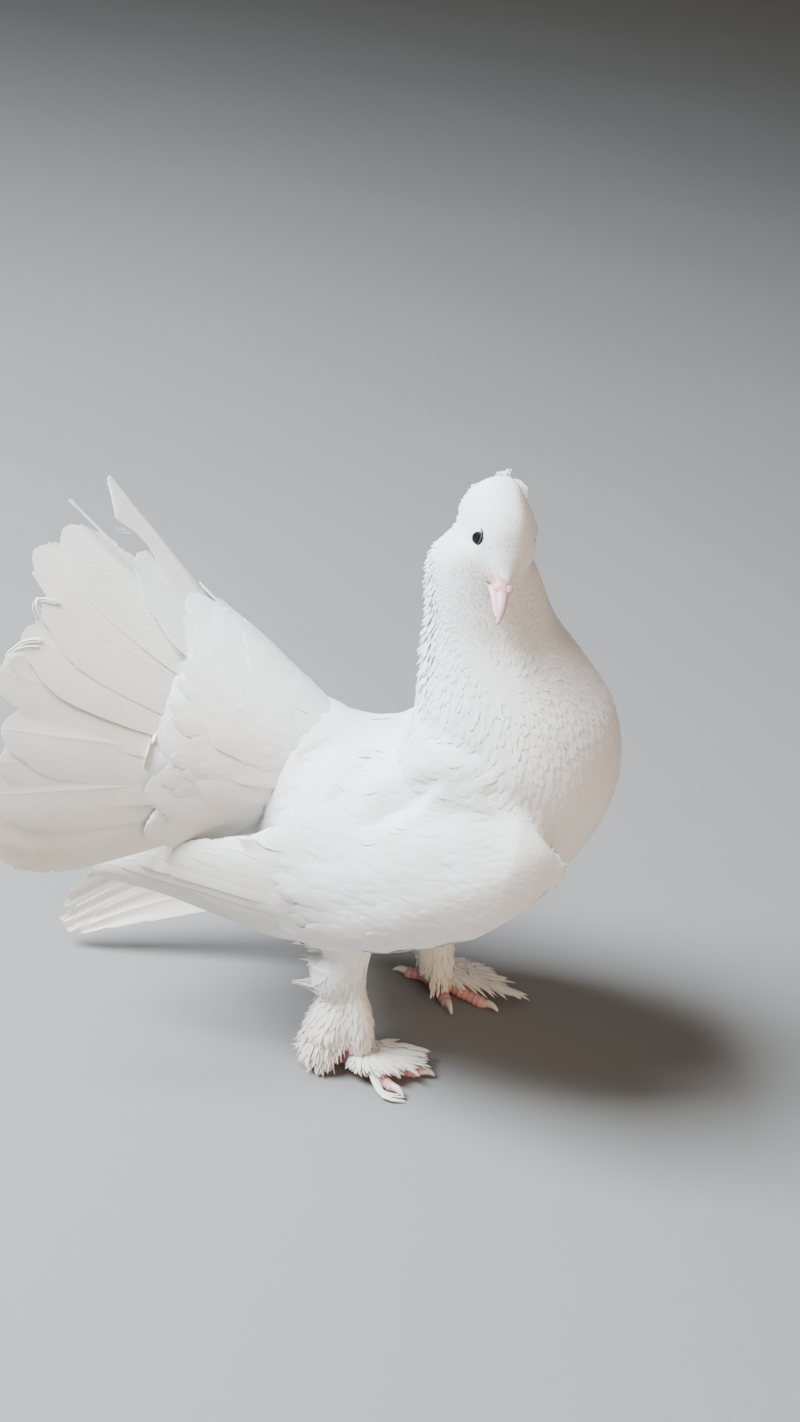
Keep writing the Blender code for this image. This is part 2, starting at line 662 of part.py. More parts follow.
def wing_vane(root, tip, pitches, half_width, lift):
    """A flight feather. root and tip are (x, angle); its lower edge lies over the next one."""
    s = np.array([0.0, 0.35, 0.7, 0.9, 1.0])
    x = root[0] + (tip[0] - root[0]) * s
    angle = root[1] + (tip[1] - root[1]) * s**1.2
    pitch = pitches[0] + (pitches[1] - pitches[0]) * s
    half = half_width * blade_widths(s, 0.55, 0.7, 0.45)
    near, _ = wing_surface(x, angle, 0 * x)
    ahead, _ = wing_surface(x, angle + 0.01, 0 * x)
    per_mm = 0.01 / np.linalg.norm(ahead - near, axis=-1)
    across = half[:, None] * np.array([-1.0, 0.0, 1.0])
    sunk = np.array([-2.0, lift, lift, lift, lift])
    rise = sunk[:, None] - VANE_STEP * across * (per_mm / pitch)[:, None]
    x = np.repeat(x[:, None], 3, 1)
    return slab(VANE, wing_surface(x, angle[:, None] + across * per_mm[:, None], rise))


def flight_feathers():
    """Primaries, secondaries and tertials, from the lowest up, each over the one below it."""
    count = len(FLIGHTS_TIP_X)
    tip_angle = np.radians(FLIGHTS_TIP_ANGLE)
    root_angle = np.radians(np.linspace(*FLIGHTS_ROOT_ANGLES, count))
    root_x = np.linspace(*FLIGHTS_ROOT_X, count)
    root_pitch, tip_pitch = np.gradient(root_angle), np.gradient(tip_angle)
    made = []
    for k in range(count):
        root, tip = (root_x[k], root_angle[k]), (FLIGHTS_TIP_X[k], tip_angle[k])
        pitches = (root_pitch[k], tip_pitch[k])
        made.append(wing_vane(root, tip, pitches, FLIGHT_WIDTH, FLIGHT_LIFT))
    return made


def wing_cover():
    """The part of the wing under small feathers: a domed plate from the wrist to the flights."""
    rows, columns = 11, 9
    u = np.linspace(0.0, 1.0, rows)[:, None] * np.ones(columns)
    v = np.ones(rows)[:, None] * np.linspace(0.0, 1.0, columns)
    x = WRIST_X - WING_COVER_LENGTH * u
    low = -6.0 - 42.0 * np.sin(np.minimum(u * 2.6, 1.0) * math.pi / 2) + 22.0 * u**2
    high = 14.0 + 50.0 * np.sin(np.minimum(u * 1.9, 1.0) * math.pi / 2)
    angle = np.radians(low + (high - low) * v)
    dome = np.sqrt(np.maximum(1.0 - (2.0 * v - 1.0) ** 4, 0.0)) * np.minimum(1.0, 4.0 * u + 0.25)
    dome = dome * np.minimum(1.0, 2.2 * (1.0 - u) + 0.12)
    outer, _ = wing_surface(x, angle, WING_THICK * dome + 0.6)
    inner, _ = wing_surface(x, angle, np.full(x.shape, -5.0))
    middle, half = (outer + inner) / 2, np.linalg.norm(outer - inner, axis=-1)
    return slab(half, (middle, unit(outer - inner)))


def to_left(shape):
    """A right wing piece mirrored to the left, its hind part lowered and swung in."""
    points, faces = shape
    points = points * (1.0, -1.0, 1.0)
    behind = np.clip((LEFT_BEND_X - points[:, 0]) / LEFT_BEND_LENGTH, 0.0, None)
    behind = LEFT_BEND_LENGTH * np.where(behind < 1.0, behind**2 / 2, behind - 0.5)
    table = np.array(WING)
    middle = np.interp(-points[:, 0], -table[:, 0], table[:, 1])
    points[:, 2] += (points[:, 2] - middle) * LEFT_WING_SPREAD * behind
    points[:, 0] -= behind * LEFT_WING_STRETCH
    points[:, 1] -= behind * math.tan(LEFT_WING_SWING)
    points[:, 2] -= behind * math.tan(LEFT_WING_DROOP)
    return points, faces[:, ::-1]


# Legs and feet
def leg_core(side):
    """The leg's soft outline down to the ankle, where it ends level, a gap above the foot."""
    line, radii = through(LEG_LINES[side], 8), through(np.array(LEG_RADII)[:, None], 8)[:, 0]
    end = np.array(LEG_LINES[side][-1])
    end[2] = ANKLE_Z + GAP
    return tube(np.vstack([line, end]), np.append(radii, radii[-1]), 10)


def leg_feather(root, turn, length, fall):
    """A leg feather: it leaves the leg at a heading and bends down, clear of the floor."""
    s = np.array([0.0, 0.4, 0.75, 1.0])
    ahead = np.array([math.cos(turn), math.sin(turn), 0.0])
    line = root + length / math.hypot(1.0, fall) * s[:, None] * (ahead - (0.0, 0.0, fall))
    line[:, 2] = np.maximum(line[:, 2] - 0.1 * length * s**2, FLOOR_CLEAR + 0.6 * s)
    side = np.broadcast_to((math.sin(turn), -math.cos(turn), 0.0), line.shape)
    half = MUFF_WIDTH * np.array([0.75, 1.0, 0.85, 0.35])
    return vane(line, side, np.cross(side, unit(np.gradient(line, axis=0))), half, MUFF_CROWN)


def leg_feathers(side, seed=5):
    """The muff: feathers in tiers down the leg, pointing outwards and backwards."""
    chance = np.random.default_rng(seed)
    line = through(LEG_LINES[side], 30)
    made = []
    for height, length, fall, headings in MUFF_TIERS:
        root = line[np.argmin(np.abs(line[:, 2] - height))]
        for heading in headings:
            turn = FOOT_HEADING[side] + math.radians(heading + chance.uniform(-5, 5)) * SIDE[side]
            made.append(leg_feather(root, turn, length * chance.uniform(0.85, 1.12), fall))
    return made


def toe_line(side, heading, length):
    out = SIDE[side]
    turn = FOOT_HEADING[side] + math.radians(heading) * out
    start = np.array(LEG_LINES[side][-1]) * (1.0, 1.0, 0.0) + (1.0, 0.0, 5.2)
    ahead = np.array([math.cos(turn), math.sin(turn), 0.0])
    s = np.linspace(0.0, 1.0, 5)
    line = start + length * s[:, None] * ahead
    line[:, 2] = 2.1 + 3.4 * (1 - s) ** 2
    return line, ahead


def toe(side, heading, length, root_r, tip_r, grow=0.0):
    line, _ = toe_line(side, heading, length)
    radii = np.linspace(root_r, tip_r, len(line)) + grow
    return tube(line, radii, 7)


def foot_feathers(side, seed=8):
    """Feathers that grow over the toes and point along and outside them."""
    chance = np.random.default_rng(seed)
    made = []
    for heading, length in FOOT_FEATHERS:
        line, ahead = toe_line(side, heading, length)
        turn = math.atan2(ahead[1], ahead[0])
        reach = length * chance.uniform(0.9, 1.1)
        made.append(leg_feather(line[0] + (0.0, 0.0, 1.2), turn, reach, FOOT_FEATHER_FALL))
    return made


def foot_pieces(side, grow=0.0):
    """The sole, the stub that the leg stands on, and the four toes."""
    x, y, _ = LEG_LINES[side][-1]
    sole = ball((x + 0.5, y, 6.0), np.array([7.2, 6.6, 5.6]) + grow, 6, 10)
    stub = tube([(x, y, 5.0), (x, y, ANKLE_Z)], [5.8 + grow, 5.6 + grow], 10)
    return [sole, stub, *toes(side, grow)]


def claw(side, heading, length):
    """A bent horn from the end of a toe to the floor."""
    line, ahead = toe_line(side, heading, length)
    s = np.linspace(0.0, 1.0, 5)
    path = line[-1] + (CLAW_LENGTH + 2.0) * s[:, None] * ahead
    path[:, 2] = 2.6 + 0.8 * np.sin(s * math.pi * 0.8) - 1.5 * s**2
    return tube(path, CLAW_R * (1.0 - 0.8 * s**1.5), 6)


def toes(side, grow=0.0):
    return [toe(side, heading, length, r0, r1, grow) for _, heading, length, r0, r1 in TOES]


def main():
    for old in list(bpy.data.objects):
        bpy.data.objects.remove(old)
    looks = {name: make_material(name, *values) for name, values in MATERIALS.items()}
    feathers = looks["feathers"]
    body, head = body_shape(), head_shape()
    big_body, big_head = grown(body, GAP), grown(head, GAP)

    above, up = neck_plane(GAP / 2)
    below, _ = neck_plane(-GAP / 2)
    behind, back = tail_plane(GAP / 2)
    before, _ = tail_plane(-GAP / 2)
    node("torso", feathers, [body], [half_space(below, up), half_space(before, back)])
    node("neck", feathers, [body], [half_space(above, -up), big_head])

    eyes = {"left": eye_shape(1.0), "right": eye_shape(-1.0)}
    sockets = [eye_shape(1.0, GAP), eye_shape(-1.0, GAP)]
    node("head", feathers, [head, lid(1.0), lid(-1.0), *crest_feathers()], sockets)
    for side, shape in eyes.items():
        node(f"eye_{side}", looks["eye"], [shape])
    upper = bill_shape(BILL_UPPER)
    node(
        "bill_upper",
        looks["bill_horn"],
        [upper, cere(1.0), cere(-1.0)],
        [nostril(1.0), nostril(-1.0), big_head],
    )
    node("bill_lower", looks["bill_horn"], [bill_shape(BILL_LOWER)], [big_head, big_body])

    long_feathers = tail_feathers()
    tail = [rump_shape(), undertail(), *long_feathers, *tail_coverts()]
    node("tail", feathers, tail, [half_space(behind, -back)])

    tail_cuts = {"right": long_feathers[:2], "left": long_feathers[-2:]}
    right_wing = [wing_cover(), *flight_feathers()]
    wings = {"right": right_wing, "left": [to_left(piece) for piece in right_wing]}
    floor = half_space((0.0, 0.0, 0.0), (0.0, 0.0, -1.0))
    for side, wing in wings.items():
        core = leg_core(side)
        neighbours = [rump_shape(), undertail(), core, *tail_cuts[side]]
        cuts = [big_body, *(grown(shape, GAP) for shape in neighbours)]
        node(f"wing_{side}", feathers, wing, cuts)
        node(f"leg_{side}", feathers, [core, *leg_feathers(side)], [big_body])
        foot = [*foot_pieces(side), *foot_feathers(side)]
        node(f"foot_{side}", looks["foot_skin"], foot, [floor])
        for toe_name, heading, length, *_ in TOES:
            shape = claw(side, heading, length)
            cuts = [*toes(side, GAP), floor]
            node(f"claw_{side}_{toe_name}", looks["claw_horn"], [shape], cuts)


main()
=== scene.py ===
# %% [markdown]
# # A white fantail pigeon, dressed in feathers
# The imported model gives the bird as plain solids: a body, a head, two wings, a fan of a tail, two
# feathered legs. This lesson puts a skin, a coat of small feathers and finer flight feathers round
# them, one piece at a time. Everything is worked out as whole arrays of points with numpy.

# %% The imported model
import math

import bpy
import numpy as np
from mathutils import Matrix, Vector
from mathutils.bvhtree import BVHTree
from mathutils.kdtree import KDTree


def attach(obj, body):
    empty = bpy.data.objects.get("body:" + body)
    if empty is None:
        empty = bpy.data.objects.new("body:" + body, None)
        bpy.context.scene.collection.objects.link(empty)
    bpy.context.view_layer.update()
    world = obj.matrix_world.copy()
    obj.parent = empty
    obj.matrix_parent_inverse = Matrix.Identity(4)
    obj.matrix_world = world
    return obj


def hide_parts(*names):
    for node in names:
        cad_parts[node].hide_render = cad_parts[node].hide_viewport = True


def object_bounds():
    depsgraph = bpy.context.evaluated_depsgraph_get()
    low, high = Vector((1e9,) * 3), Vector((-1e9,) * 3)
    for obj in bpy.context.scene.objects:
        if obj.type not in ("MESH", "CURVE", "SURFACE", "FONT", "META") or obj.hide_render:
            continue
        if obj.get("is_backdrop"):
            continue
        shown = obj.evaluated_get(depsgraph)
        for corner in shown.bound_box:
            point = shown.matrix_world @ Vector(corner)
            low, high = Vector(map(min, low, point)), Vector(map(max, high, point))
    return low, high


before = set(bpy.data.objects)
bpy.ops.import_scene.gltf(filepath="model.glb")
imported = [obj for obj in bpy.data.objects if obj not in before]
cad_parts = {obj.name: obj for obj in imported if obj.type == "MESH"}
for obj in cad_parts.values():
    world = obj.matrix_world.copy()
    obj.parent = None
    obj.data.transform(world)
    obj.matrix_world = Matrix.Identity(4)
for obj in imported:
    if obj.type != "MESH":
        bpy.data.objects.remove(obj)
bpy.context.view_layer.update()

MM = 0.001
TO_ROW = np.array([43.3, 0.0, 0.0])  # from the bird's own origin to the middle of its box

# %% [markdown]
# ## Points, rows and closed bodies
# Most shapes of the bird are sections strung on a line. A table holds a few sections, a smooth
# curve through its rows gives as many rings as the surface needs, and faces join ring to ring.
# All of it is in millimetres, and a piece turns to metres only when its mesh is made.

# %% Vectors and smooth tables
def unit(rows):
    """Each row divided by its own length."""
    rows = np.asarray(rows, float)
    return rows / np.maximum(np.linalg.norm(rows, axis=-1, keepdims=True), 1e-12)


def flatten(rows, normals):
    """Each row less its share along the normal: what is left lies in the surface."""
    return unit(rows - (rows * normals).sum(-1, keepdims=True) * normals)


def square_to(lines, facing):
    """A facing made square to lines of points: flattened against their own direction."""
    return flatten(np.broadcast_to(facing, lines.shape), unit(np.gradient(lines, axis=1)))


def compass(heading):
    """Level direction of a heading in radians, from straight ahead towards the left."""
    return np.stack([np.cos(heading), np.sin(heading), 0 * heading], -1)


def full_turn(count):
    """Even angles once round, in radians."""
    return np.linspace(0.0, 2 * math.pi, count, endpoint=False)


def through(rows, count):
    """A Catmull-Rom curve: between two rows, a cubic that leaves each in its neighbours' direction."""
    rows = np.asarray(rows, float)
    at = np.linspace(0.0, len(rows) - 1.0, count)
    i = np.minimum(at.astype(int), len(rows) - 2)
    t = (at - i)[:, None]
    padded = np.vstack([2 * rows[0] - rows[1], rows, 2 * rows[-1] - rows[-2]])
    p0, p1, p2, p3 = (padded[i + k] for k in range(4))
    return 0.5 * (2 * p1 + (p2 - p0) * t + (2 * p0 - 5 * p1 + 4 * p2 - p3) * t**2
                  + (3 * p1 - p0 - 3 * p2 + p3) * t**3)


def smooth_step(value, low, high):
    """0 below low, 1 above high, and a soft S between them: 3t² - 2t³."""
    t = np.clip((np.asarray(value, float) - low) / (high - low), 0.0, 1.0)
    return t * t * (3.0 - 2.0 * t)


def triangles(faces):
    """Faces of three and four corners as triangles only, fanned from the first corner."""
    parts = [kind[:, [0, k, k + 1]] for kind in faces for k in range(1, kind.shape[1] - 1)]
    return np.vstack(parts)


def outward(points, faces):
    """The same body with its faces turned out: its signed volume is above zero."""
    corners = points[triangles(faces)]
    inside_out = np.linalg.det(corners).sum() < 0.0
    return points, [kind[:, ::-1] for kind in faces] if inside_out else faces


def normals_of(points, faces):
    """Each point's normal: the sum of the area normals of the triangles round it."""
    corners = triangles(faces)
    a, b, c = (points[corners[:, k]] for k in range(3))
    total = np.zeros_like(points)
    for k in range(3):
        np.add.at(total, corners[:, k], np.cross(b - a, c - a))
    return unit(total)


def surface_of(points, faces):
    """What feathers need to know of a surface: its search tree, points, triangles and normals."""
    corners = triangles(faces)
    tree = BVHTree.FromPolygons(points.tolist(), corners.tolist())
    return tree, points, corners, normals_of(points, faces)


def on_surface(surface, points):
    """Nearest places of a surface, with their smooth normals."""
    tree, _, corners, normals = surface
    hits = [tree.find_nearest(p) for p in points.tolist()]
    places = np.array([hit[0] for hit in hits])
    faces = np.array([hit[2] for hit in hits])
    return places, unit(normals[corners[faces]].sum(1))


def grid(rows, columns):
    """The point numbers of a grid, and its quads."""
    index = np.arange(rows * columns).reshape(rows, columns)
    corners = index[:-1, :-1], index[:-1, 1:], index[1:, 1:], index[1:, :-1]
    return index, np.stack(corners, -1).reshape(-1, 4)


def closed_pair(rows, columns):
    """Quads of two sheets of one grid, the second turned over, and of the wall round their rim."""
    index, top = grid(rows, columns)
    rim = np.concatenate([index[0, :-1], index[:-1, -1], index[-1, :0:-1], index[:0:-1, 0]])
    after, below = np.roll(rim, -1), rows * columns
    wall = np.stack([rim, rim + below, after + below, after], -1)
    return np.vstack([top, top[:, ::-1] + below, wall])


def closed_body(rings):
    """Faces between rings of points, with a fan to a pole point at each end."""
    rows, sides, _ = rings.shape
    points = np.vstack([rings.reshape(-1, 3), rings[0].mean(0), rings[-1].mean(0)])
    index = np.arange(rows * sides).reshape(rows, sides)
    after = np.roll(index, -1, axis=1)
    walls = np.stack([index[:-1], after[:-1], after[1:], index[1:]], -1).reshape(-1, 4)
    first = np.stack([after[0], index[0], np.full(sides, rows * sides)], -1)
    last = np.stack([index[-1], after[-1], np.full(sides, rows * sides + 1)], -1)
    return outward(points, [walls, np.vstack([first, last])])


def sections(table, rings, sides, power=2.1):
    """Rings from rows (hind x, hind z, front x, front z, half width): middle + reach·sin + width·cos."""
    rows = through(table, rings)
    turn = full_turn(sides)
    across = np.sign(np.cos(turn)) * np.abs(np.cos(turn)) ** (2.0 / power)
    upright = np.sign(np.sin(turn)) * np.abs(np.sin(turn)) ** (2.0 / power)
    nothing = 0.0 * rows[:, 0]
    middle = np.stack([rows[:, 0] + rows[:, 2], nothing, rows[:, 1] + rows[:, 3]], -1) / 2
    reach = np.stack([rows[:, 0] - rows[:, 2], nothing, rows[:, 1] - rows[:, 3]], -1) / 2
    wide = np.stack([nothing, rows[:, 4], nothing], -1)
    return (middle[:, None] + reach[:, None] * upright[None, :, None]
            + wide[:, None] * across[None, :, None])


def tube_rings(line, radii, sides, squash=1.0):
    """Rings round a line: point + radius·(cos·side + squash·sin·up)."""
    along = unit(np.gradient(line, axis=0))
    side = unit(np.cross(along, (0.0, 0.0, 1.0)) + np.array([0.0, 1e-6, 0.0]))
    up = np.cross(side, along)
    turn = full_turn(sides)
    return line[:, None] + np.asarray(radii)[:, None, None] * (
        np.cos(turn)[None, :, None] * side[:, None]
        + squash * np.sin(turn)[None, :, None] * up[:, None])


def ball_rings(rings, sides):
    """Slope and turn of each ring point of a ball, poles left out, and (cos, sin·cos, sin·sin)."""
    slope = np.linspace(0.0, math.pi, rings + 2)[1:-1, None]
    turn = full_turn(sides)[None, :]
    return slope, turn, np.stack(np.broadcast_arrays(
        np.cos(slope), np.sin(slope) * np.cos(turn), np.sin(slope) * np.sin(turn)), -1)


def joined(shapes):
    """Several (points, faces) as one, with the point numbers of each moved on."""
    starts = np.concatenate([[0], np.cumsum([len(points) for points, _ in shapes])])
    faces = [kind + start for (_, kinds), start in zip(shapes, starts) for kind in kinds]
    threes = [kind for kind in faces if kind.shape[1] == 3]
    fours = [kind for kind in faces if kind.shape[1] == 4]
    kinds = [np.vstack(group) for group in (threes, fours) if group]
    return np.vstack([points for points, _ in shapes]), kinds


# %% [markdown]
# ## From arrays to a piece
# A mesh takes its points, corners and faces in one call each, which is far quicker than adding
# faces one by one. UV maps and painted numbers are given for each point and copied to the corners.

# %% The mesh maker
PIECES = []


def in_row(points):
    """Bird millimetres as metres of the model's frame."""
    return (np.asarray(points, float) + TO_ROW) * MM


def add_piece(name, shape, material, nodes=(), maps=None, numbers=None, crease=None):
    """One object at the origin, its place in its mesh, riding on the bird's one body."""
    points, faces = shape
    mesh = bpy.data.meshes.new(name)
    corners = np.concatenate([kind.ravel() for kind in faces])
    sizes = np.concatenate([np.full(len(kind), kind.shape[1]) for kind in faces])
    mesh.vertices.add(len(points))
    mesh.vertices.foreach_set("co", in_row(points).ravel())
    mesh.loops.add(len(corners))
    mesh.loops.foreach_set("vertex_index", corners)
    mesh.polygons.add(len(sizes))
    mesh.polygons.foreach_set("loop_start", np.concatenate([[0], np.cumsum(sizes)[:-1]]))
    mesh.update(calc_edges=True)
    mesh.shade_smooth()
    if crease is not None:
        mesh.set_sharp_from_angle(angle=math.radians(crease))
    for map_name, places in (maps or {}).items():
        layer = mesh.uv_layers.new(name=map_name)
        layer.uv.foreach_set("vector", places[corners].astype(np.float32).ravel())
    for number_name, values in (numbers or {}).items():
        mesh.attributes.new(number_name, "FLOAT", "POINT").data.foreach_set(
            "value", np.asarray(values, np.float32))
    mesh.materials.append(material)
    made = bpy.data.objects.new(name, mesh)
    bpy.context.scene.collection.objects.link(made)
    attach(made, "root")
    if nodes:
        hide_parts(*nodes)
    PIECES.append(made)
    print(f"{name}: {int((sizes - 2).sum())} triangles")


# %% [markdown]
# ## Camera, floor and light
# The photograph was taken from the bird's front right, well above it, with the camera leaning a
# little, so the picture's up isn't the world's up. The camera stands where a known point of the
# bird, on the floor between its legs, falls on the right spot of the picture.

# %% The camera
PICTURE = (800, 1422)
FOCAL = 1800.0  # in pixels of the picture
SENSOR = 36.0
turn, rise, lean = (math.radians(angle) for angle in (12.0, 29.0, 10.0))
towards = np.array([math.sin(turn) * math.cos(rise), -math.cos(turn) * math.cos(rise), math.sin(rise)])
level = np.array([math.cos(turn), math.sin(turn), 0.0])
above = np.cross(towards, level)
right = level * math.cos(lean) + above * math.sin(lean)
up = -level * math.sin(lean) + above * math.cos(lean)
FLOOR_POINT = (392.0, 1020.0)  # where the bird's origin falls
DISTANCE = 0.75
ray = unit(-towards + right * (FLOOR_POINT[0] - PICTURE[0] / 2) / FOCAL
           - up * (FLOOR_POINT[1] - PICTURE[1] / 2) / FOCAL)

lens = bpy.data.cameras.new("camera")
lens.sensor_width = SENSOR
lens.lens = SENSOR * FOCAL / PICTURE[1]
lens.clip_start = 0.01
camera = bpy.data.objects.new("camera", lens)
bpy.context.scene.collection.objects.link(camera)
place = TO_ROW * MM - ray * DISTANCE
view_axes = np.stack([right, up, towards], 1)
camera.matrix_world = Matrix([[*row, offset] for row, offset in zip(view_axes, place)]
                             + [[0.0, 0.0, 0.0, 1.0]])
bpy.context.scene.camera = camera
print("camera height:", round(camera.matrix_world.translation.z, 3))

# %% [markdown]
# The light is a soft sky with one large window of light from the upper left, which is what makes
# the back and the crown bright and leaves the breast and the belly in a warm shade.

# %% Floor and light
floor_mesh = bpy.data.meshes.new("floor")
FLOOR_HALF = 7.0  # metres
floor_corners = [(x * FLOOR_HALF, y * FLOOR_HALF, 0.0) for x, y in ((-1, -1), (1, -1), (1, 1), (-1, 1))]
floor_mesh.from_pydata(floor_corners, [], [(0, 1, 2, 3)])
floor = bpy.data.objects.new("floor", floor_mesh)
bpy.context.scene.collection.objects.link(floor)
floor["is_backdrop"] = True


def add_light(name, place, aim, side, watts, colour):
    """A square soft light at a place, turned to what it lights."""
    light = bpy.data.lights.new(name, "AREA")
    light.size = side
    light.energy = watts
    light.color = colour
    made = bpy.data.objects.new(name, light)
    made.location = place
    made.rotation_euler = (Vector(aim) - Vector(place)).to_track_quat("-Z", "Y").to_euler()
    bpy.context.scene.collection.objects.link(made)


middle = (0.0, 0.0, 0.12)
add_light("window", (-0.80, -0.35, 1.25), middle, 0.7, 112.0, (0.84, 0.93, 1.0))
add_light("bounce", (1.0, -0.75, 0.25), middle, 0.9, 12.0, (1.0, 0.72, 0.50))
world = bpy.data.worlds.new("soft sky")
world.use_nodes = True
world.node_tree.nodes["Background"].inputs["Color"].default_value = (0.95, 0.91, 0.87, 1.0)
world.node_tree.nodes["Background"].inputs["Strength"].default_value = 0.20
bpy.context.scene.world = world

# %% [markdown]
# ## Finishes
# Every feather has the same make: a shaft down its middle and fine barbs that slant from it
# towards the tip. One node group draws both from a UV map named vane, whose two numbers are the
# distance from the shaft and the distance along it, in millimetres. It puts out masks and a
# height, and each material decides what to do with them.

# %% Node helpers and the barb group
def feed(tree, socket, value):
    """A link into the socket, or a plain value on it."""
    if isinstance(value, bpy.types.NodeSocket):
        tree.links.new(value, socket)
    else:
        socket.default_value = value


def add_node(tree, kind, links=None, **settings):
    """A node with its settings, and links or plain values for its named or numbered inputs."""
    made = tree.nodes.new(kind)
    for key, value in settings.items():
        setattr(made, key, value)
    for key, value in (links or {}).items():
        feed(tree, made.inputs[key], value)
    return made


def sum_of(tree, operation, *values):
    """A Math node on the given values, and its result."""
    return add_node(tree, "ShaderNodeMath", dict(enumerate(values)), operation=operation).outputs[0]


def barb_group():
    """Barbs are lines where along - slant·distance from the shaft is a whole number of spacings."""
    group = bpy.data.node_groups.new("barbs and shaft", "ShaderNodeTree")
    for name, value in (("Spacing", 0.8), ("Slant", 1.1), ("Shaft", 0.35), ("Ruffle", 0.6)):
        socket = group.interface.new_socket(name, in_out="INPUT", socket_type="NodeSocketFloat")
        socket.default_value = value
    for name in ("Barbs", "Shaft", "Height"):
        group.interface.new_socket(name, in_out="OUTPUT", socket_type="NodeSocketFloat")
    given = add_node(group, "NodeGroupInput")
    vane = add_node(group, "ShaderNodeUVMap", uv_map="vane").outputs[0]
    split = add_node(group, "ShaderNodeSeparateXYZ", {0: vane})
    away = sum_of(group, "ABSOLUTE", split.outputs["X"])
    place = add_node(group, "ShaderNodeTexCoord").outputs["Object"]
    noise = add_node(group, "ShaderNodeTexNoise", {"Vector": place, "Scale": 260.0, "Detail": 2.0})
    ruffle = sum_of(group, "MULTIPLY", noise.outputs[0], given.outputs["Ruffle"])
    slanted = sum_of(group, "MULTIPLY", away, given.outputs["Slant"])
    run = sum_of(group, "ADD", sum_of(group, "SUBTRACT", split.outputs["Y"], slanted), ruffle)
    wave = sum_of(group, "SINE", sum_of(group, "DIVIDE", sum_of(group, "MULTIPLY", run, 2 * math.pi),
                                        given.outputs["Spacing"]))
    barbs = sum_of(group, "MULTIPLY_ADD", wave, 0.5, 0.5)
    shaft = add_node(group, "ShaderNodeMapRange",
                     {"Value": away, "From Min": 0.0, "From Max": given.outputs["Shaft"],
                      "To Min": 1.0, "To Max": 0.0}, interpolation_type="SMOOTHSTEP").outputs[0]
    height = sum_of(group, "MAXIMUM", barbs, shaft)
    add_node(group, "NodeGroupOutput", {"Barbs": barbs, "Shaft": shaft, "Height": height})
    return group


BARBS = barb_group()
print("group:", BARBS.name)


# %% [markdown]
# White isn't one colour. Each feather differs a little from the next, and the fine furrows between
# barbs get a painted shade. A painted number named tone says how beige each feather is: a little at
# random, more on the lower leg feathers, and as painted shade where feathers turn from the light, low
# on the tail, on the lowest flight feathers, on the near side of the rump and on the neck under the
# head. The soft gloss of a large vane comes from a lower roughness than that of down.

# %% Feather materials
def new_material(name, **values):
    """A Principled material with plain values on its own sockets."""
    material = bpy.data.materials.new(name)
    material.use_nodes = True
    shader = material.node_tree.nodes["Principled BSDF"]
    for key, value in values.items():
        shader.inputs[key.replace("_", " ")].default_value = value
    return material, material.node_tree, shader


def blend(tree, share, first, second):
    """Colour first where share is 0, second where it is 1."""
    made = add_node(tree, "ShaderNodeMix", {"Factor": share}, data_type="RGBA")
    for key, value in (("A", first), ("B", second)):
        socket = [s for s in made.inputs if s.name == key and s.type == "RGBA"][0]
        feed(tree, socket, (*value, 1.0) if isinstance(value, tuple) else value)
    return [s for s in made.outputs if s.type == "RGBA"][0]


def finish_shader(tree, shader, colour, noise, rough, swing, height, strength, depth):
    """Base colour, roughness rough ± swing by a noise, and a bump whose depth is in millimetres."""
    feed(tree, shader.inputs["Base Color"], colour)
    roughness = add_node(tree, "ShaderNodeMapRange",
                         {"Value": noise, "To Min": rough - swing, "To Max": rough + swing})
    feed(tree, shader.inputs["Roughness"], roughness.outputs[0])
    bump = add_node(tree, "ShaderNodeBump", {"Height": height, "Strength": strength, "Distance": depth * MM})
    feed(tree, shader.inputs["Normal"], bump.outputs[0])


def feather_material(name, white, cream_and_shade, shaft, spacing, depth, rough, shaft_width=0.35):
    """White to beige by tone, random tint and painted shade; painted shade between barbs; shafts picked out,
    barbs as bump.
    """
    material, tree, shader = new_material(name, Sheen_Weight=0.25, Sheen_Roughness=0.5)
    barbs = add_node(tree, "ShaderNodeGroup", node_tree=BARBS)
    barbs.inputs["Spacing"].default_value = spacing
    barbs.inputs["Shaft"].default_value = shaft_width
    tone = add_node(tree, "ShaderNodeAttribute", attribute_name="tone").outputs["Fac"]
    place = add_node(tree, "ShaderNodeTexCoord").outputs["Object"]
    cloud = add_node(tree, "ShaderNodeTexNoise", {"Vector": place, "Scale": 45.0, "Detail": 4.0})
    # share of the beige: tone, which holds random tint and painted shade, varied by a noise
    cream_and_shade_share = sum_of(tree, "MULTIPLY", tone, add_node(
        tree, "ShaderNodeMapRange", {"Value": cloud.outputs[0], "From Min": 0.3, "From Max": 0.7,
                                     "To Min": 0.55, "To Max": 1.3}).outputs[0])
    colour = blend(tree, cream_and_shade_share, white, cream_and_shade)
    # painted shade in the furrows between barbs: a darker beige where the barb lines are low
    groove_shade = sum_of(tree, "MULTIPLY", sum_of(tree, "SUBTRACT", 1.0, barbs.outputs["Barbs"]), 0.10)
    colour = blend(tree, groove_shade, colour, tuple(0.72 * c for c in cream_and_shade))
    colour = blend(tree, sum_of(tree, "MULTIPLY", barbs.outputs["Shaft"], 0.55), colour, shaft)
    finish_shader(tree, shader, colour, cloud.outputs[0], rough, 0.08, barbs.outputs["Height"], 0.6, depth)
    return material


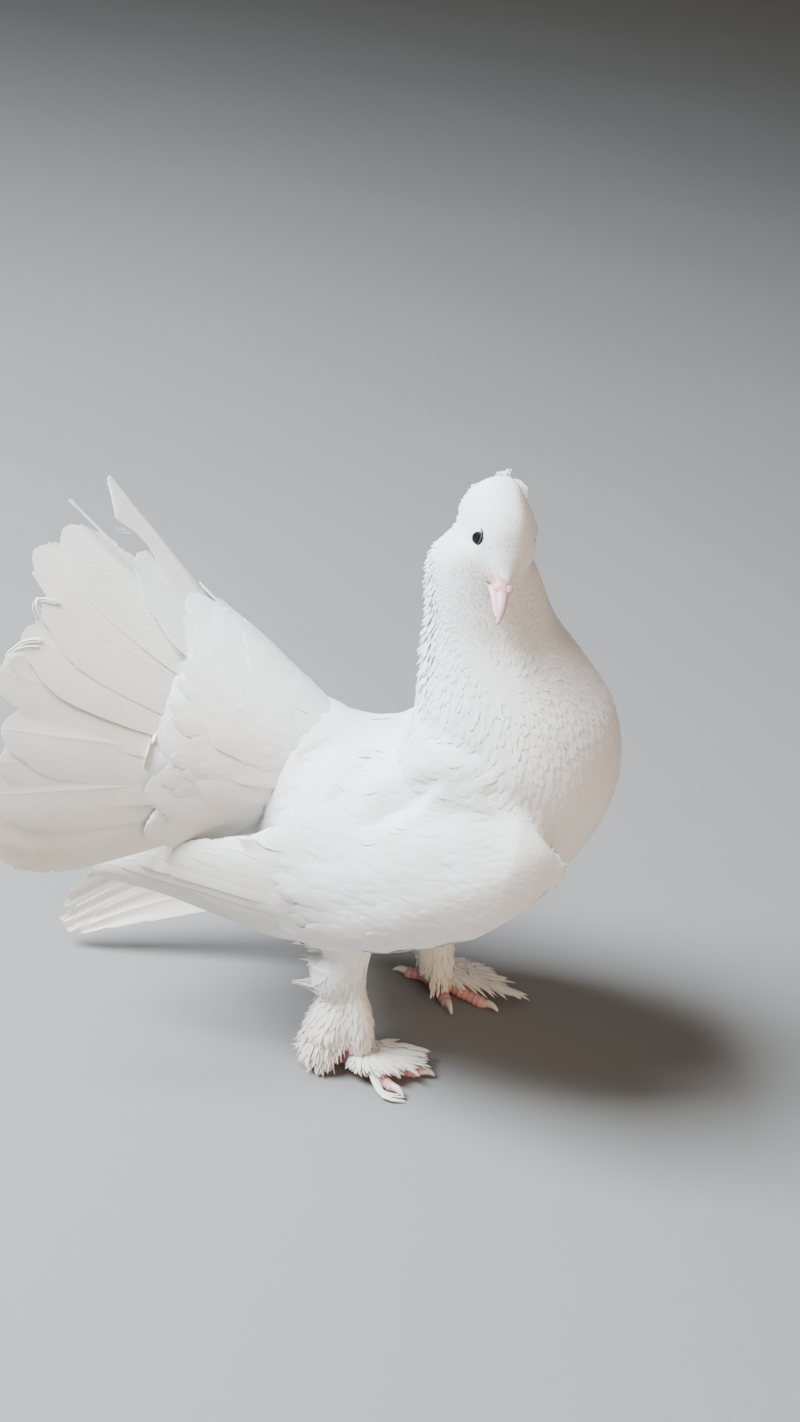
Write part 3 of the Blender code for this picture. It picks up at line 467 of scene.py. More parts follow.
# The second colour is a beige tint: some of it at random, much of it painted shade where feathers turn from the
# light.
WHITE, CREAM_AND_SHADE = (0.88, 0.885, 0.88), (0.80, 0.735, 0.62)
coat_finish = feather_material("coat feather", WHITE, CREAM_AND_SHADE, WHITE, 0.55, 0.10, 0.78, 0.2)
vane_finish = feather_material("flight feather", WHITE, CREAM_AND_SHADE, (0.84, 0.80, 0.72), 0.9, 0.14, 0.62, 0.7)
muff_finish = feather_material("leg feather", (0.86, 0.85, 0.82), (0.74, 0.64, 0.47),
                               (0.82, 0.78, 0.70), 0.7, 0.12, 0.75, 0.3)


# %% [markdown]
# Bare parts are few: the skin under the coat, the bill with its soft cere, the rims of the eyes,
# the toes and claws. Skin and horn get their colour from noise on Object coordinates, which stay
# put as long as the mesh does, and from numbers painted along the piece.

# %% Skin, horn and eye materials
def noisy_material(name, dark, pale, scale, rough, bump_mm, bump_scale, painted=None, far=None, **values):
    """Two colours mixed by noise, a third by a painted number, and fine bump."""
    material, tree, shader = new_material(name, **values)
    place = add_node(tree, "ShaderNodeTexCoord").outputs["Object"]
    noise = add_node(tree, "ShaderNodeTexNoise", {"Vector": place, "Scale": scale, "Detail": 6.0})
    colour = blend(tree, noise.outputs[0], dark, pale)
    if painted:
        number = add_node(tree, "ShaderNodeAttribute", attribute_name=painted).outputs["Fac"]
        colour = blend(tree, number, colour, far)
    fine = add_node(tree, "ShaderNodeTexNoise", {"Vector": place, "Scale": bump_scale, "Detail": 5.0})
    finish_shader(tree, shader, colour, noise.outputs[0], rough, 0.07, fine.outputs[0], 0.7, bump_mm)
    return material


skin_finish = noisy_material("skin", (0.80, 0.76, 0.74), (0.86, 0.85, 0.84), 90.0, 0.75, 0.25, 900.0)
bill_finish = noisy_material("bill", (0.62, 0.30, 0.33), (0.74, 0.42, 0.45), 160.0, 0.5, 0.10, 1500.0,
                             "along", (0.74, 0.50, 0.52), Coat_Weight=0.08)
cere_finish = noisy_material("cere", (0.64, 0.38, 0.41), (0.74, 0.50, 0.53), 420.0, 0.8, 0.12, 2600.0)
# the gape's grey-brown is painted shade of the crease at the corner of the mouth
gape_shade_finish = noisy_material("gape_shade", (0.30, 0.20, 0.20), (0.45, 0.32, 0.31), 300.0, 0.7, 0.05, 2000.0)
rim_finish = noisy_material("eye rim", (0.025, 0.023, 0.026), (0.06, 0.055, 0.06), 600.0, 0.8, 0.10, 2400.0)
toe_finish = noisy_material("toe", (0.42, 0.13, 0.14), (0.72, 0.36, 0.36), 330.0, 0.5, 0.16, 1400.0,
                            "scute", (0.76, 0.48, 0.47), Coat_Weight=0.08)
claw_finish = noisy_material("claw", (0.66, 0.46, 0.43), (0.82, 0.66, 0.62), 240.0, 0.35, 0.06, 1800.0,
                             "along", (0.80, 0.72, 0.66))
floor_finish = noisy_material("pale floor", (0.215, 0.21, 0.205), (0.245, 0.24, 0.235), 3.0, 0.85, 0.4, 60.0)
floor_mesh.materials.append(floor_finish)
eye_finish, eye_tree, eye_shader = new_material("eye", Roughness=0.25, Specular_IOR_Level=0.1)
ramp = add_node(eye_tree, "ShaderNodeValToRGB", {
    0: add_node(eye_tree, "ShaderNodeAttribute", attribute_name="along").outputs["Fac"]})
for place, colour in ((0.0, (0.002, 0.002, 0.003)), (0.34, (0.003, 0.003, 0.004)),
                      (0.42, (0.008, 0.007, 0.009)), (0.72, (0.006, 0.006, 0.009)),
                      (1.0, (0.012, 0.010, 0.011))):
    stop = ramp.color_ramp.elements.new(place) if place not in (0.0, 1.0) else \
        ramp.color_ramp.elements[int(place)]
    stop.color = (*colour, 1.0)
eye_tree.links.new(ramp.outputs[0], eye_shader.inputs["Base Color"])
print("materials:", len(bpy.data.materials))

# %% [markdown]
# ## The skin
# Under the feathers lies one skin. The body and neck are one surface of sections, the head is
# another with axes of its own, because it is turned over the right side, and the rump and the
# legs are tubes. A voxel remesh fuses them, and a few rounds of smoothing, where each point moves
# towards the mean of its neighbours, take away the creases at chin and thigh.

# %% Body, head, rump and legs as sections
# Rows of the body: hind x, hind z, front x, front z, half width, from the tail's root to the crown.
BODY = ((-78, 143, -76, 89, 15), (-66, 139.5, -66, 67, 25), (-49, 134, -50, 52, 36), (-35, 131, -30, 43, 43),
        (-24, 132, -6, 45, 45), (-17.5, 135.5, 16.5, 53, 46), (-14.5, 140, 35, 69, 46.5),
        (-14, 145.5, 51.8, 92, 45.5), (-13.8, 152, 63.6, 117.5, 44.2), (-14.2, 159.5, 66.4, 140.5, 41.2),
        (-14.2, 168, 59.5, 162.5, 35.8), (-14.4, 178, 44.8, 179, 30.2), (-15, 189, 32.8, 190.5, 26.2),
        (-16.8, 200, 26.5, 201, 23.6), (-17, 211, 21.5, 211.5, 20.6), (-12.5, 220, 14.5, 220.5, 16.8),
        (-7, 226.5, 9, 227, 9))
BODY_GRID, HEAD_GRID = (110, 90), (60, 60)  # rings, and points round each
NECK_SWAY = 7.0  # how far the top of the neck leans to the bird's right
body_rings = sections(BODY, *BODY_GRID)
body_rings[..., 1] -= NECK_SWAY * np.clip((body_rings[..., 2] - 180.0) / 42.0, 0.0, 1.0) ** 2

# Rows of the head in its own frame: x ahead, top, low, half width.
HEAD = ((-19.4, 8.6, -8, 6.8), (-16.0, 14.0, -12.6, 10.4), (-10, 16.2, -14.4, 12.9), (-3.5, 16, -14.4, 13.9),
        (2.8, 15.2, -13.2, 13.4), (8.5, 12.9, -11.2, 11.2), (13.2, 9.2, -9, 8.7), (16.8, 6.5, -6.8, 6.3),
        (19.4, 4.6, -4.5, 4.4), (21.4, 3.6, -2.8, 3.2), (22.8, 2.7, -1.4, 1.9))
HEAD_PLACE = np.array([5.5, -7.5, 223.6])
yaw, pitch, roll = (math.radians(angle) for angle in (-63.0, 28.0, -9.0))
ahead = np.array([math.cos(yaw) * math.cos(pitch), math.sin(yaw) * math.cos(pitch), -math.sin(pitch)])
flat_left = np.array([-math.sin(yaw), math.cos(yaw), 0.0])
head_left = math.cos(roll) * flat_left + math.sin(roll) * np.cross(ahead, flat_left)
HEAD_AXES = np.stack([ahead, head_left, np.cross(ahead, head_left)])


def from_head(points):
    """Points of the head's own frame in the bird's: x ahead, y left and z crown, then the place."""
    return np.asarray(points, float) @ HEAD_AXES + HEAD_PLACE


def to_head(points):
    """Points of the bird's frame in the head's."""
    return (np.asarray(points, float) - HEAD_PLACE) @ HEAD_AXES.T


def head_rows(table):
    """Rows (x, top, low, half width) as rows for sections."""
    return [(x, top, x, low, wide) for x, top, low, wide in table]


head_rings = sections(head_rows(HEAD), *HEAD_GRID, 2.15)
peaked = smooth_step(head_rings[..., 2], 4.0, 15.0) * smooth_step(head_rings[..., 1], -1.0, 5.0)
head_rings[..., 1] *= 1.0 - 0.27 * peaked
swelling = np.exp(-(((head_rings - (5.5, 12.0, 2.5)) / (9.0, 9.0, 7.5)) ** 2).sum(-1))
socket = np.exp(-(((head_rings - (4.6, 12.5, 3.2)) / (4.2, 9.0, 4.2)) ** 2).sum(-1))
head_rings[..., 1] += 3.6 * swelling - 3.4 * socket
head_rings = from_head(head_rings)
LEG_RINGS, LEG_SIDES = 40, 28
LEGS = {"left": ((-6, 27, 66), (0, 29, 48), (3, 30, 34), (7.5, 31, 22), (8, 31, 10)),
        "right": ((-19, -28, 66), (-17, -30, 50), (-12.5, -32, 35), (-6.5, -34, 22), (-5, -34, 9))}
LEG_RADII = (14.0, 10.5, 6.5, 6.2, 6.4)
MUFFS = {  # middle line and radii of the feathered part below the heel, fused into the skin
    "right": (((-21, -30, 46), (-19, -30, 37), (-16.5, -29.5, 28), (-17, -33.5, 18), (-18, -37, 11),
               (-18, -38.5, 8)), (11.5, 11.0, 9.2, 10.6, 10.4, 7.0)),
    "left": (((2, 28, 42), (5, 27.5, 29), (8, 27, 18), (10, 26, 10), (10.5, 25.5, 7)),
             (9.5, 9.0, 8.6, 7.4, 5.5))}
leg_lines = {side: through(line, LEG_RINGS) for side, line in LEGS.items()}
leg_radii = through(np.array(LEG_RADII)[:, None], LEG_RINGS)[:, 0]
print("sections:", body_rings.shape, head_rings.shape)

# %% [markdown]
# ## The wing under its feathers
# A folded wing follows a surface round the body: a place along it and an angle above the level.
# Its fore part, from the wrist back, is a flat dome. Muscle and short feathers join it to the
# body without a seam, so the dome is fused into the skin.

# %% The wing's surface and fore part
WING = (  # x, middle height, half width and half height
    (60, 116, 38, 24), (47, 112, 45, 38), (22, 101, 49, 46), (-8, 89.5, 49.5, 47.5),
    (-38, 83.5, 47.5, 46.5), (-68, 80, 45.5, 38.5), (-98, 74, 44, 28), (-130, 63, 40, 22))
WING_ROWS = through(WING, 80)[::-1]
WING_THICK, WRIST_X, PLATE_LENGTH, PLATE_REACH = 6.6, 59.0, 99.0, 1.16
REACH_ANGLES, REACH_SHARES = (-45.0, 4.0, 34.0, 60.0, 78.0), (1.16, 1.16, 1.06, 1.05, 0.96)
LOW_SHARES = (0.0, 0.1, 0.25, 0.5, 0.7, 0.84, 1.0, 1.16)
LOW_ANGLES = (-6, -18, -30, -33, -39, -47, -46, -36)


def wing_section(x):
    """Middle height, half width and half height of the section at x."""
    return [np.interp(x, WING_ROWS[:, 0], WING_ROWS[:, k]) for k in (1, 2, 3)]


def wing_surface(x, angle, lift):
    """Point of the right wing: an ellipse section at x, then lift along the section's normal."""
    mid, wide, tall = wing_section(x)
    normal = unit(np.stack([0 * x, -np.cos(angle) / wide, np.sin(angle) / tall], -1))
    point = np.stack([x, -wide * np.cos(angle), mid + tall * np.sin(angle)], -1)
    return point + np.asarray(lift)[..., None] * normal


def plate_edges(u):
    """Lowest and highest angle of the fore part, in degrees, at a share u of its length."""
    high = 14.0 + 50.0 * np.sin(np.minimum(u * 1.9, 1.0) * math.pi / 2) + 12.0 * smooth_step(u, 0.6, 1.0)
    return np.interp(u, LOW_SHARES, LOW_ANGLES), high


def dents(points):
    """Soft unevenness: two products of sines along and up the wing, about 15 mm from crest to crest."""
    x, z = points[..., 0], points[..., 2]
    return 0.45 * np.sin(x / 5.1 + 1.3) * np.sin(z / 4.3 + 0.4) + 0.3 * np.sin(x / 3.1 + z / 4.9)


def wing_plate(rows=96, columns=72):
    """The domed plate: an outer sheet thick in the middle, thin at the edge, and an inner sheet."""
    v = np.ones(rows)[:, None] * np.linspace(0.0, 1.0, columns)
    u = np.linspace(0.0, 1.0, rows)[:, None] * np.interp(-40.0 + 115.0 * v, REACH_ANGLES, REACH_SHARES)
    x = WRIST_X - PLATE_LENGTH * u
    low, high = plate_edges(u)
    angle = np.radians(low + (high - low) * v)
    dome = np.sqrt(np.maximum(1.0 - np.abs(2.0 * v - 1.0) ** (4.0 + 5.0 * u), 0.0))
    thick = WING_THICK * np.minimum(1.0, 4.0 * u + 0.25) + (2.4 - WING_THICK) * smooth_step(u, 0.50, 1.02)
    lift = dome * thick
    outer = wing_surface(x, angle, lift + 0.1)
    outer = wing_surface(x, angle, lift + 0.1 + dents(outer) * np.minimum(1.0, 0.4 * lift))
    return outer, wing_surface(x, angle, np.full(x.shape, -5.0))


def closed_plate(outer, inner):
    """Two sheets of the same grid, joined round their rim."""
    rows, columns, _ = outer.shape
    points = np.vstack([outer.reshape(-1, 3), inner.reshape(-1, 3)])
    return outward(points, [closed_pair(rows, columns)])


LEFT_BEND = (0.0, 60.0, math.radians(21.5), math.radians(31.0), 0.17, 0.0065)


def to_left(points):
    """A right wing's points on the left, where the hind part hangs lower and swings in."""
    bend_x, bend_length, droop, swing, stretch, spread = LEFT_BEND
    points = np.asarray(points) * (1.0, -1.0, 1.0)
    behind = np.clip((bend_x - points[..., 0]) / bend_length, 0.0, None)
    behind = bend_length * np.where(behind < 1.0, behind**2 / 2, behind - 0.5)
    table = np.array(WING, float)
    middle_z = np.interp(-points[..., 0], -table[:, 0], table[:, 1])
    points[..., 2] += (points[..., 2] - middle_z) * spread * behind
    points[..., 0] -= behind * stretch
    points[..., 1] -= behind * math.tan(swing)
    points[..., 2] -= behind * math.tan(droop)
    return points


SIDE = {"right": -1.0, "left": 1.0}
MOVED = {"right": np.asarray, "left": to_left}
plates = {side: closed_plate(*(moved(sheet) for sheet in wing_plate())) for side, moved in MOVED.items()}
print("wing fore parts:", {side: shape[0].shape for side, shape in plates.items()})

# %% [markdown]
# The tail is a fan. A feather's place in it is one number t, from -1 for the right outermost to 1
# for the left. The middle feather rises most, the outermost droop, and all spring from a short
# arc at the end of the body. The rump is a wedge round the same fan.

# %% The fan that tail and rump share
TAIL_LENGTH = 124.0
TAIL_RISE, TAIL_DROP, TAIL_SPREAD = (math.radians(angle) for angle in (38.5, -10.8, 37.0))
TAIL_ROOT, TAIL_ROOT_ARC, TAIL_FLARE = np.array([-47.0, 0.0, 117.0]), (13.0, 10.0), 2.0
TAIL_DIP = 8.5  # how far the left half sags below an even fan


def fan_direction(t):
    """Direction of a feather: its rise falls by a cosine and its turn outwards grows by a sine."""
    turned = np.asarray(t, float) * math.pi / 2
    rising = TAIL_DROP + (TAIL_RISE - TAIL_DROP) * np.cos(turned)
    out = TAIL_SPREAD * np.sin(turned)
    return np.stack([-np.cos(rising) * np.cos(out), np.cos(rising) * np.sin(out), np.sin(rising)], -1)


def fan_point(away, t, lift):
    """Root on the arc + distance·direction + (lift + flare - dip)·up, with up square to the fan."""
    turned = np.asarray(t, float) * math.radians(80.0)
    root = np.stack([0 * turned, TAIL_ROOT_ARC[0] * np.sin(turned),
                     TAIL_ROOT_ARC[1] * (np.cos(turned) - 1.0)], -1)
    across = fan_direction(np.asarray(t) + 0.01) - fan_direction(np.asarray(t) - 0.01)
    normal = np.cross(unit(across), fan_direction(t))
    dip = TAIL_DIP * away / TAIL_LENGTH * np.sin(math.pi * np.clip((np.asarray(t) - 0.05) / 0.75, 0.0, 1.0))
    height = lift + TAIL_FLARE * (away / TAIL_LENGTH) ** 2 - dip
    return TAIL_ROOT + root + away[..., None] * fan_direction(t) + height[..., None] * normal


RUMP_SIDES = 48
around = full_turn(RUMP_SIDES)
rump_rows = through(((0.05, 11.5), (0.18, 10.2), (0.33, 7.8), (0.46, 4.7), (0.53, 1.6)), 24)
rump_rings = np.array([fan_point(np.full(RUMP_SIDES, share * TAIL_LENGTH), 1.08 * np.sin(around),
                                 thick * np.cos(around)) for share, thick in rump_rows])
# The hump under the tail, from rows (x, z, half height, half width).
UNDERTAIL = [(x, z + tall, x, z - tall, wide) for x, z, tall, wide in
             ((-60, 84, 14, 35), (-80, 85, 13, 36), (-100, 90, 8, 25), (-112, 94, 3, 9))]

print("rump rings:", rump_rings.shape)

# %% [markdown]
# One skin needs one mesh. The remesh lays a grid of small cubes over all the bodies and keeps only
# the outer face, so nothing is left inside. The folds round the wing are pressed in afterwards:
# each is a line on the skin, and the points near it sink, most of them on the lower side only, as
# where one layer of feathers ends on top of the next.

# %% Fusing the skin
VOXEL, SMOOTH_ROUNDS, CREASE_SAMPLES = 1.35, 9, 70


def fused(shapes, voxel, rounds):
    """Closed bodies made one by a voxel remesh, then smoothed without shrinking.

    Each round moves every point towards its neighbours' mean by a half, then back out by a bit more.
    """
    points, faces = joined(shapes)
    mesh = bpy.data.meshes.new("fusing")
    mesh.from_pydata(points.tolist(), [], [f for kind in faces for f in kind.tolist()])
    helper = bpy.data.objects.new("fusing", mesh)
    bpy.context.scene.collection.objects.link(helper)
    step = helper.modifiers.new("remesh", "REMESH")
    step.mode = "VOXEL"
    step.voxel_size = voxel
    graph = bpy.context.evaluated_depsgraph_get()
    made = bpy.data.meshes.new_from_object(helper.evaluated_get(graph))
    bpy.data.objects.remove(helper)
    places = np.empty(len(made.vertices) * 3)
    made.vertices.foreach_get("co", places)
    places = places.reshape(-1, 3)
    ends = np.empty(len(made.edges) * 2, int)
    made.edges.foreach_get("vertices", ends)
    ends = ends.reshape(-1, 2)
    quads = np.empty(len(made.loops), int)
    made.loops.foreach_get("vertex_index", quads)
    count = np.bincount(ends.ravel(), minlength=len(places))[:, None]
    for share in (0.5, -0.52) * rounds:
        total = np.zeros_like(places)
        np.add.at(total, ends[:, 0], places[ends[:, 1]])
        np.add.at(total, ends[:, 1], places[ends[:, 0]])
        places += share * (total / count - places)
    return outward(places, [quads.reshape(-1, 4)])


COAT_DEPTH = 1.0
CREASES = (  # line, the side that sinks, depth, reach, and how many samples fade out at each end
    (((-17, 0, 161), (-12, -16, 156), (-4.6, -27.2, 151.6), (5.5, -34.7, 152.5), (15.5, -38.5, 152.3),
      (20, -39, 151), (21.6, -40, 147.6), (21.9, -41.4, 144.4)), (0.45, 0.0, 0.9), 2.6, 6.5, (24, 12)),
    (((22, -41.4, 144), (26.1, -40.7, 141.7), (32.1, -40, 139.9), (38.5, -38.3, 138.6), (45, -36, 134.1),
      (50.5, -33, 128.5), (55, -31, 120), (57, -31, 111)), (0.85, 0.35, 0.4), 2.6, 6.0, (12, 14)),
    (((11, -41, 144), (6, -41, 138), (-1.4, -43, 129), (-6.2, -44, 122.2), (-13, -45, 116), (-22, -45, 111)),
     (-0.5, 0.3, 0.8), 4.2, 9.5, (24, 24)),
    (((-15, -6, 139), (-20, -11, 133), (-25, -19, 128), (-29, -30, 123), (-33, -38, 117), (-38, -42, 112)),
     (0.75, -0.4, -0.5), 2.2, 6.0, (22, 22)),
    (((-33, -5, 131), (-39.9, -13, 127.5), (-45, -18, 125), (-50.7, -23.7, 123)),
     (0.6, -0.6, -0.4), 2.0, 5.0, (20, 10)),
    (((18, -38, 150), (9, -38, 146), (0, -36, 141), (-9, -34, 135), (-17, -33, 128), (-25, -33, 123)),
     None, -3.0, 9.5, (22, 22)))


def pressed(points, line, lower_side, deep, reach, fades):
    """How far points sink along a crease, on both flanks: deep·exp(-(distance / reach)^1.5)·ends.

    With a lower side given, only the side sinks where the offset from the line leans along it.
    """
    flank = points * (1.0, -1.0, 1.0) * (points[:, 1:2] > 0.0) + points * (points[:, 1:2] <= 0.0)
    tree = BVHTree.FromPolygons(flank.tolist(), skin_triangles.tolist())
    line = np.array([tree.find_nearest(p)[0] for p in through(line, CREASE_SAMPLES).tolist()])
    sunk = np.zeros(len(points))
    near = np.flatnonzero((flank > line.min(0) - 4 * reach).all(1) & (flank < line.max(0) + 4 * reach).all(1))
    offset = flank[near, None] - line[None]
    closest = (offset**2).sum(-1).argmin(1)
    offset = offset[np.arange(len(near)), closest]
    far = np.linalg.norm(offset, axis=1)
    share = deep * np.exp(-((far / reach) ** 1.5))
    if lower_side is not None:
        share = share * smooth_step(offset @ unit(lower_side), -3.2, 3.2)
    share = share * smooth_step(closest, 0.0, fades[0]) \
        * smooth_step(CREASE_SAMPLES - 1.0 - closest, 0.0, fades[1])
    sunk[near] = share
    return sunk


skin_shapes = [closed_body(body_rings), closed_body(head_rings), closed_body(rump_rings),
               closed_body(sections(UNDERTAIL, 24, 40))]
skin_shapes += [closed_body(tube_rings(line, leg_radii, LEG_SIDES)) for line in leg_lines.values()]
skin_shapes += [closed_body(tube_rings(through(line, 30), through(np.array(radii)[:, None], 30)[:, 0],
                                       LEG_SIDES)) for line, radii in MUFFS.values()]
skin_shapes += list(plates.values())
skin_points, skin_faces = fused(skin_shapes, VOXEL, SMOOTH_ROUNDS)
skin_out = normals_of(skin_points, skin_faces)
skin_triangles = triangles(skin_faces)
sinks = sum(pressed(skin_points, *crease) for crease in CREASES)
skin_points -= (COAT_DEPTH + sinks)[:, None] * skin_out
SKIN = surface_of(skin_points, skin_faces)
add_piece("skin", (skin_points, skin_faces), skin_finish,
          ("torso", "neck", "head", "leg_left", "leg_right"))

# %% [markdown]
# ## The lie of the coat
# Feathers run from the bill back over the crown, down the neck, and along the body to the tail.
# A line through the middle of the bird has that direction at every point, so a feather takes the
# mean direction of the stretch of line that is nearest to it, pressed flat onto the skin. The
# same line unrolls the skin: one number along it and one angle round it make a flat map.

# %% The bird's middle line
SPINE = np.vstack([from_head([(34, 0, -2), (17, 0, 0), (0, 0, 0), (-9, 0, -1)]),
                   [(2, -4, 206), (3, -1, 190), (10, 0, 170), (20, 0, 148), (22, 0, 122), (8, 0, 103),
                    (-20, 0, 93), (-50, 0, 98), (-80, 0, 112), (-118, 0, 126)]])
spine = through(SPINE, 160)
spine_way = unit(np.gradient(spine, axis=0))
spine_run = np.concatenate([[0.0], np.cumsum(np.linalg.norm(np.diff(spine, axis=0), axis=1))])
LEG_TOP = 44.0  # below it the map belongs to the legs
print("middle line:", round(spine_run[-1], 1), "mm")


def along_spine(points, softness=13.0):
    """Shares of the line's samples for each point: exp(-(distance² - nearest²) / softness²)."""
    apart = ((points[:, None] - spine[None]) ** 2).sum(-1)
    share = np.exp((apart.min(1, keepdims=True) - apart) / softness**2)
    return share / share.sum(1, keepdims=True)


def lie_of_coat(points, normals):
    """Direction of the feathers at rows of points."""
    return flatten(along_spine(points) @ spine_way, normals)


def skin_map(points):
    """Unrolled place of rows of points: angle round the line, then run along it; legs lie apart."""
    share = along_spine(points, 6.0)
    away = points - share @ spine
    way = unit(share @ spine_way)
    side = flatten(np.broadcast_to((0.0, 1.0, 0.0), way.shape), way)
    angle = np.arctan2((away * side).sum(-1), (away * np.cross(way, side)).sum(-1))
    place = np.stack([0.02 + 0.96 * (angle / (2 * math.pi) + 0.5),
                      0.02 + 0.80 * (share @ spine_run) / spine_run[-1]], -1)
    for k, line in enumerate(leg_lines.values()):
        near = ((points[:, None] - line[None]) ** 2).sum(-1)
        low = (points[:, 2] < LEG_TOP) & (near.min(1) < 40.0**2) & (points[:, 1] * line[0, 1] > 0.0)
        out = points - line[near.argmin(1)]
        leg = np.stack([0.03 + 0.48 * k + 0.44 * (np.arctan2(out[:, 1], out[:, 0]) / (2 * math.pi) + 0.5),
                        0.85 + 0.13 * np.clip(points[:, 2] / LEG_TOP, 0.0, 1.0)], -1)
        place = np.where(low[:, None], leg, place)
    return place


# %% [markdown]
# ## Scattering roots
# Roots set in rows look like roof tiles. Nature's spacing is even but without rows, which dart
# throwing gives: many places are drawn at random, by area, and each is kept only if no kept one
# is closer than the spacing there. The spacing is small on the face and wide on the back.

# %% Dart throwing
def scattered(surface, spacing, seed, wanted):
    """Even random places on a surface, where wanted is above zero: (places, normals)."""
    _, points, corners, normals = surface
    chance = np.random.default_rng(seed)
    a, b, c = (points[corners[:, k]] for k in range(3))
    gap = spacing((a + b + c) / 3.0)
    area = np.linalg.norm(np.cross(b - a, c - a), axis=1) / 2.0 * wanted((a + b + c) / 3.0)
    density = area / gap**2
    count = int(3.2 * density.sum())
    face = np.searchsorted(np.cumsum(density), chance.uniform(0.0, density.sum(), count))
    u, v = chance.uniform(0.0, 1.0, (2, count, 1))
    u, v = np.where(u + v > 1.0, 1.0 - u, u), np.where(u + v > 1.0, 1.0 - v, v)
    place = a[face] + u * (b - a)[face] + v * (c - a)[face]
    n0, n1, n2 = (normals[corners[face, k]] for k in range(3))
    normal = unit(n0 + u * (n1 - n0) + v * (n2 - n0))
    tree = KDTree(count)
    for k, p in enumerate(place.tolist()):
        tree.insert(p, k)
    tree.balance()
    reach = spacing(place)
    free = np.ones(count, bool)
    kept = []
    for k, p in enumerate(place.tolist()):
        if free[k]:
            kept.append(k)
            free[[near for _, near, _ in tree.find_range(p, reach[k])]] = False
    return place[kept], normal[kept]


# %% [markdown]
# ## Plumes
# One function makes any number of small feathers at once. Its line is a row of points for each
# feather; across it the vane is a shallow arch, and the last rows are drawn in to a frayed, round
# tip. A flat underside closes each one, so it is a solid, if a thin one.

# %% The plume maker
ACROSS = 5  # points across a plume


def plumes(line, normal, half, outline, crown=0.12, round_tip=0.8, fray=0.10, seed=1):
    """Closed vanes. Point = line + side·c·w + normal·crown·w·(1-c²) - along·tip, with c from -1 to 1.

    w is half width times outline; tip draws the corners back by round_tip·w·c² and frays by chance.
    """
    chance = np.random.default_rng(seed)
    count, rows, _ = line.shape
    along = unit(np.gradient(line, axis=1))
    side = unit(np.cross(normal, along))
    c = np.linspace(-1.0, 1.0, ACROSS)
    wide = np.asarray(half)[:, None] * np.asarray(outline)
    length = np.linalg.norm(np.diff(line, axis=1), axis=2).sum(1)
    late = np.linspace(0.0, 1.0, rows) ** 3
    drawn = late[:, None] * (round_tip * wide[..., None] * c**2
                             + (fray * length)[:, None, None] * chance.uniform(0.0, 1.0, (count, 1, ACROSS)))
    points = (line[:, :, None] + side[:, :, None] * (wide[..., None] * c)[..., None]
              + normal[:, :, None] * (crown * wide[..., None] * (1 - c**2))[..., None]
              - along[:, :, None] * drawn[..., None])
    index, top = grid(rows, ACROSS)
    under = np.stack([index[:-1, -1], index[:-1, 0], index[1:, 0], index[1:, -1]], -1)
    fan = np.stack([np.zeros(ACROSS - 2, int), np.arange(2, ACROSS), np.arange(1, ACROSS - 1)], -1)
    fours, threes = np.vstack([top, under]), np.vstack([index[0][fan], index[-1][fan[:, ::-1]]])
    start = (np.arange(count) * rows * ACROSS)[:, None, None]
    faces = [(threes + start).reshape(-1, 3), (fours + start).reshape(-1, 4)]
    run = np.linspace(0.0, 1.0, rows)[None, :, None] * length[:, None, None]
    vane = np.stack(np.broadcast_arrays(wide[..., None] * c, run), -1).reshape(-1, 2)
    return points.reshape(-1, 3), faces, vane


def patches(places, rows, size=0.003):
    """Each plume's own small patch of the unrolled skin, round its root's place."""
    along, across = np.meshgrid(np.linspace(-0.5, 0.5, rows), np.linspace(-0.5, 0.5, ACROSS), indexing="ij")
    patch = size * np.stack([across, along], -1).reshape(1, -1, 2)
    return (places[:, None] + patch).reshape(-1, 2)


def laid_plumes(surface, roots, normals, way, length, half, lifts, seed, outline, **shape):
    """Plumes that lie on a surface: equal steps from the root, each pressed to it and turned with it.

    Where the surface turns away at a rim, the plume keeps straight on. The line is evened out once,
    by a quarter of each neighbour, and lifts gives its height at each row.
    """
    line, facing = [roots], [normals]
    for _ in outline[1:]:
        ahead_of = line[-1] + (length / (len(outline) - 1))[:, None] * way
        place, normal = on_surface(surface, ahead_of)
        holds = ((normal * facing[-1]).sum(1) > 0.5)[:, None]
        place, normal = np.where(holds, place, ahead_of), np.where(holds, normal, facing[-1])
        way = flatten(way, normal)
        line.append(place)
        facing.append(normal)
    line, facing = np.stack(line, 1), np.stack(facing, 1)
    for rows in (line, facing):
        rows[:, 1:-1] = 0.5 * rows[:, 1:-1] + 0.25 * (rows[:, :-2] + rows[:, 2:])
    facing = unit(facing)
    return plumes(line + facing * lifts[..., None], facing, half, outline, seed=seed, **shape)


def kept_facing(surface, roots, normals, way, length):
    """How nearly the surface faces as at the root, a half and a whole length on: the lower cosine."""
    further = [on_surface(surface, roots + (part * length)[:, None] * way)[1] for part in (0.5, 1.0)]
    return np.min([(normals * there).sum(1) for there in further], axis=0)


def add_tufts(name, shapes, roots, tone, rows, material=coat_finish):
    """Lots of plumes as one piece; roots and tone hold one row or number for each plume."""
    maps = {"OFBake": patches(skin_map(roots), rows), "vane": np.vstack([shape[2] for shape in shapes])}
    add_piece(name, joined([shape[:2] for shape in shapes]), material, (), maps,
              {"tone": np.repeat(tone, rows * ACROSS)}, crease=60)


def add_coat(name, surface, roots, normals, way, length, half, lifts, tone, seed, outline,
             material=coat_finish, **shape):
    """A coat piece from laid plumes, with its maps and its tone."""
    laid = laid_plumes(surface, roots, normals, way, length, half, lifts, seed, outline, **shape)
    add_tufts(name, [laid], roots, tone, len(outline), material)


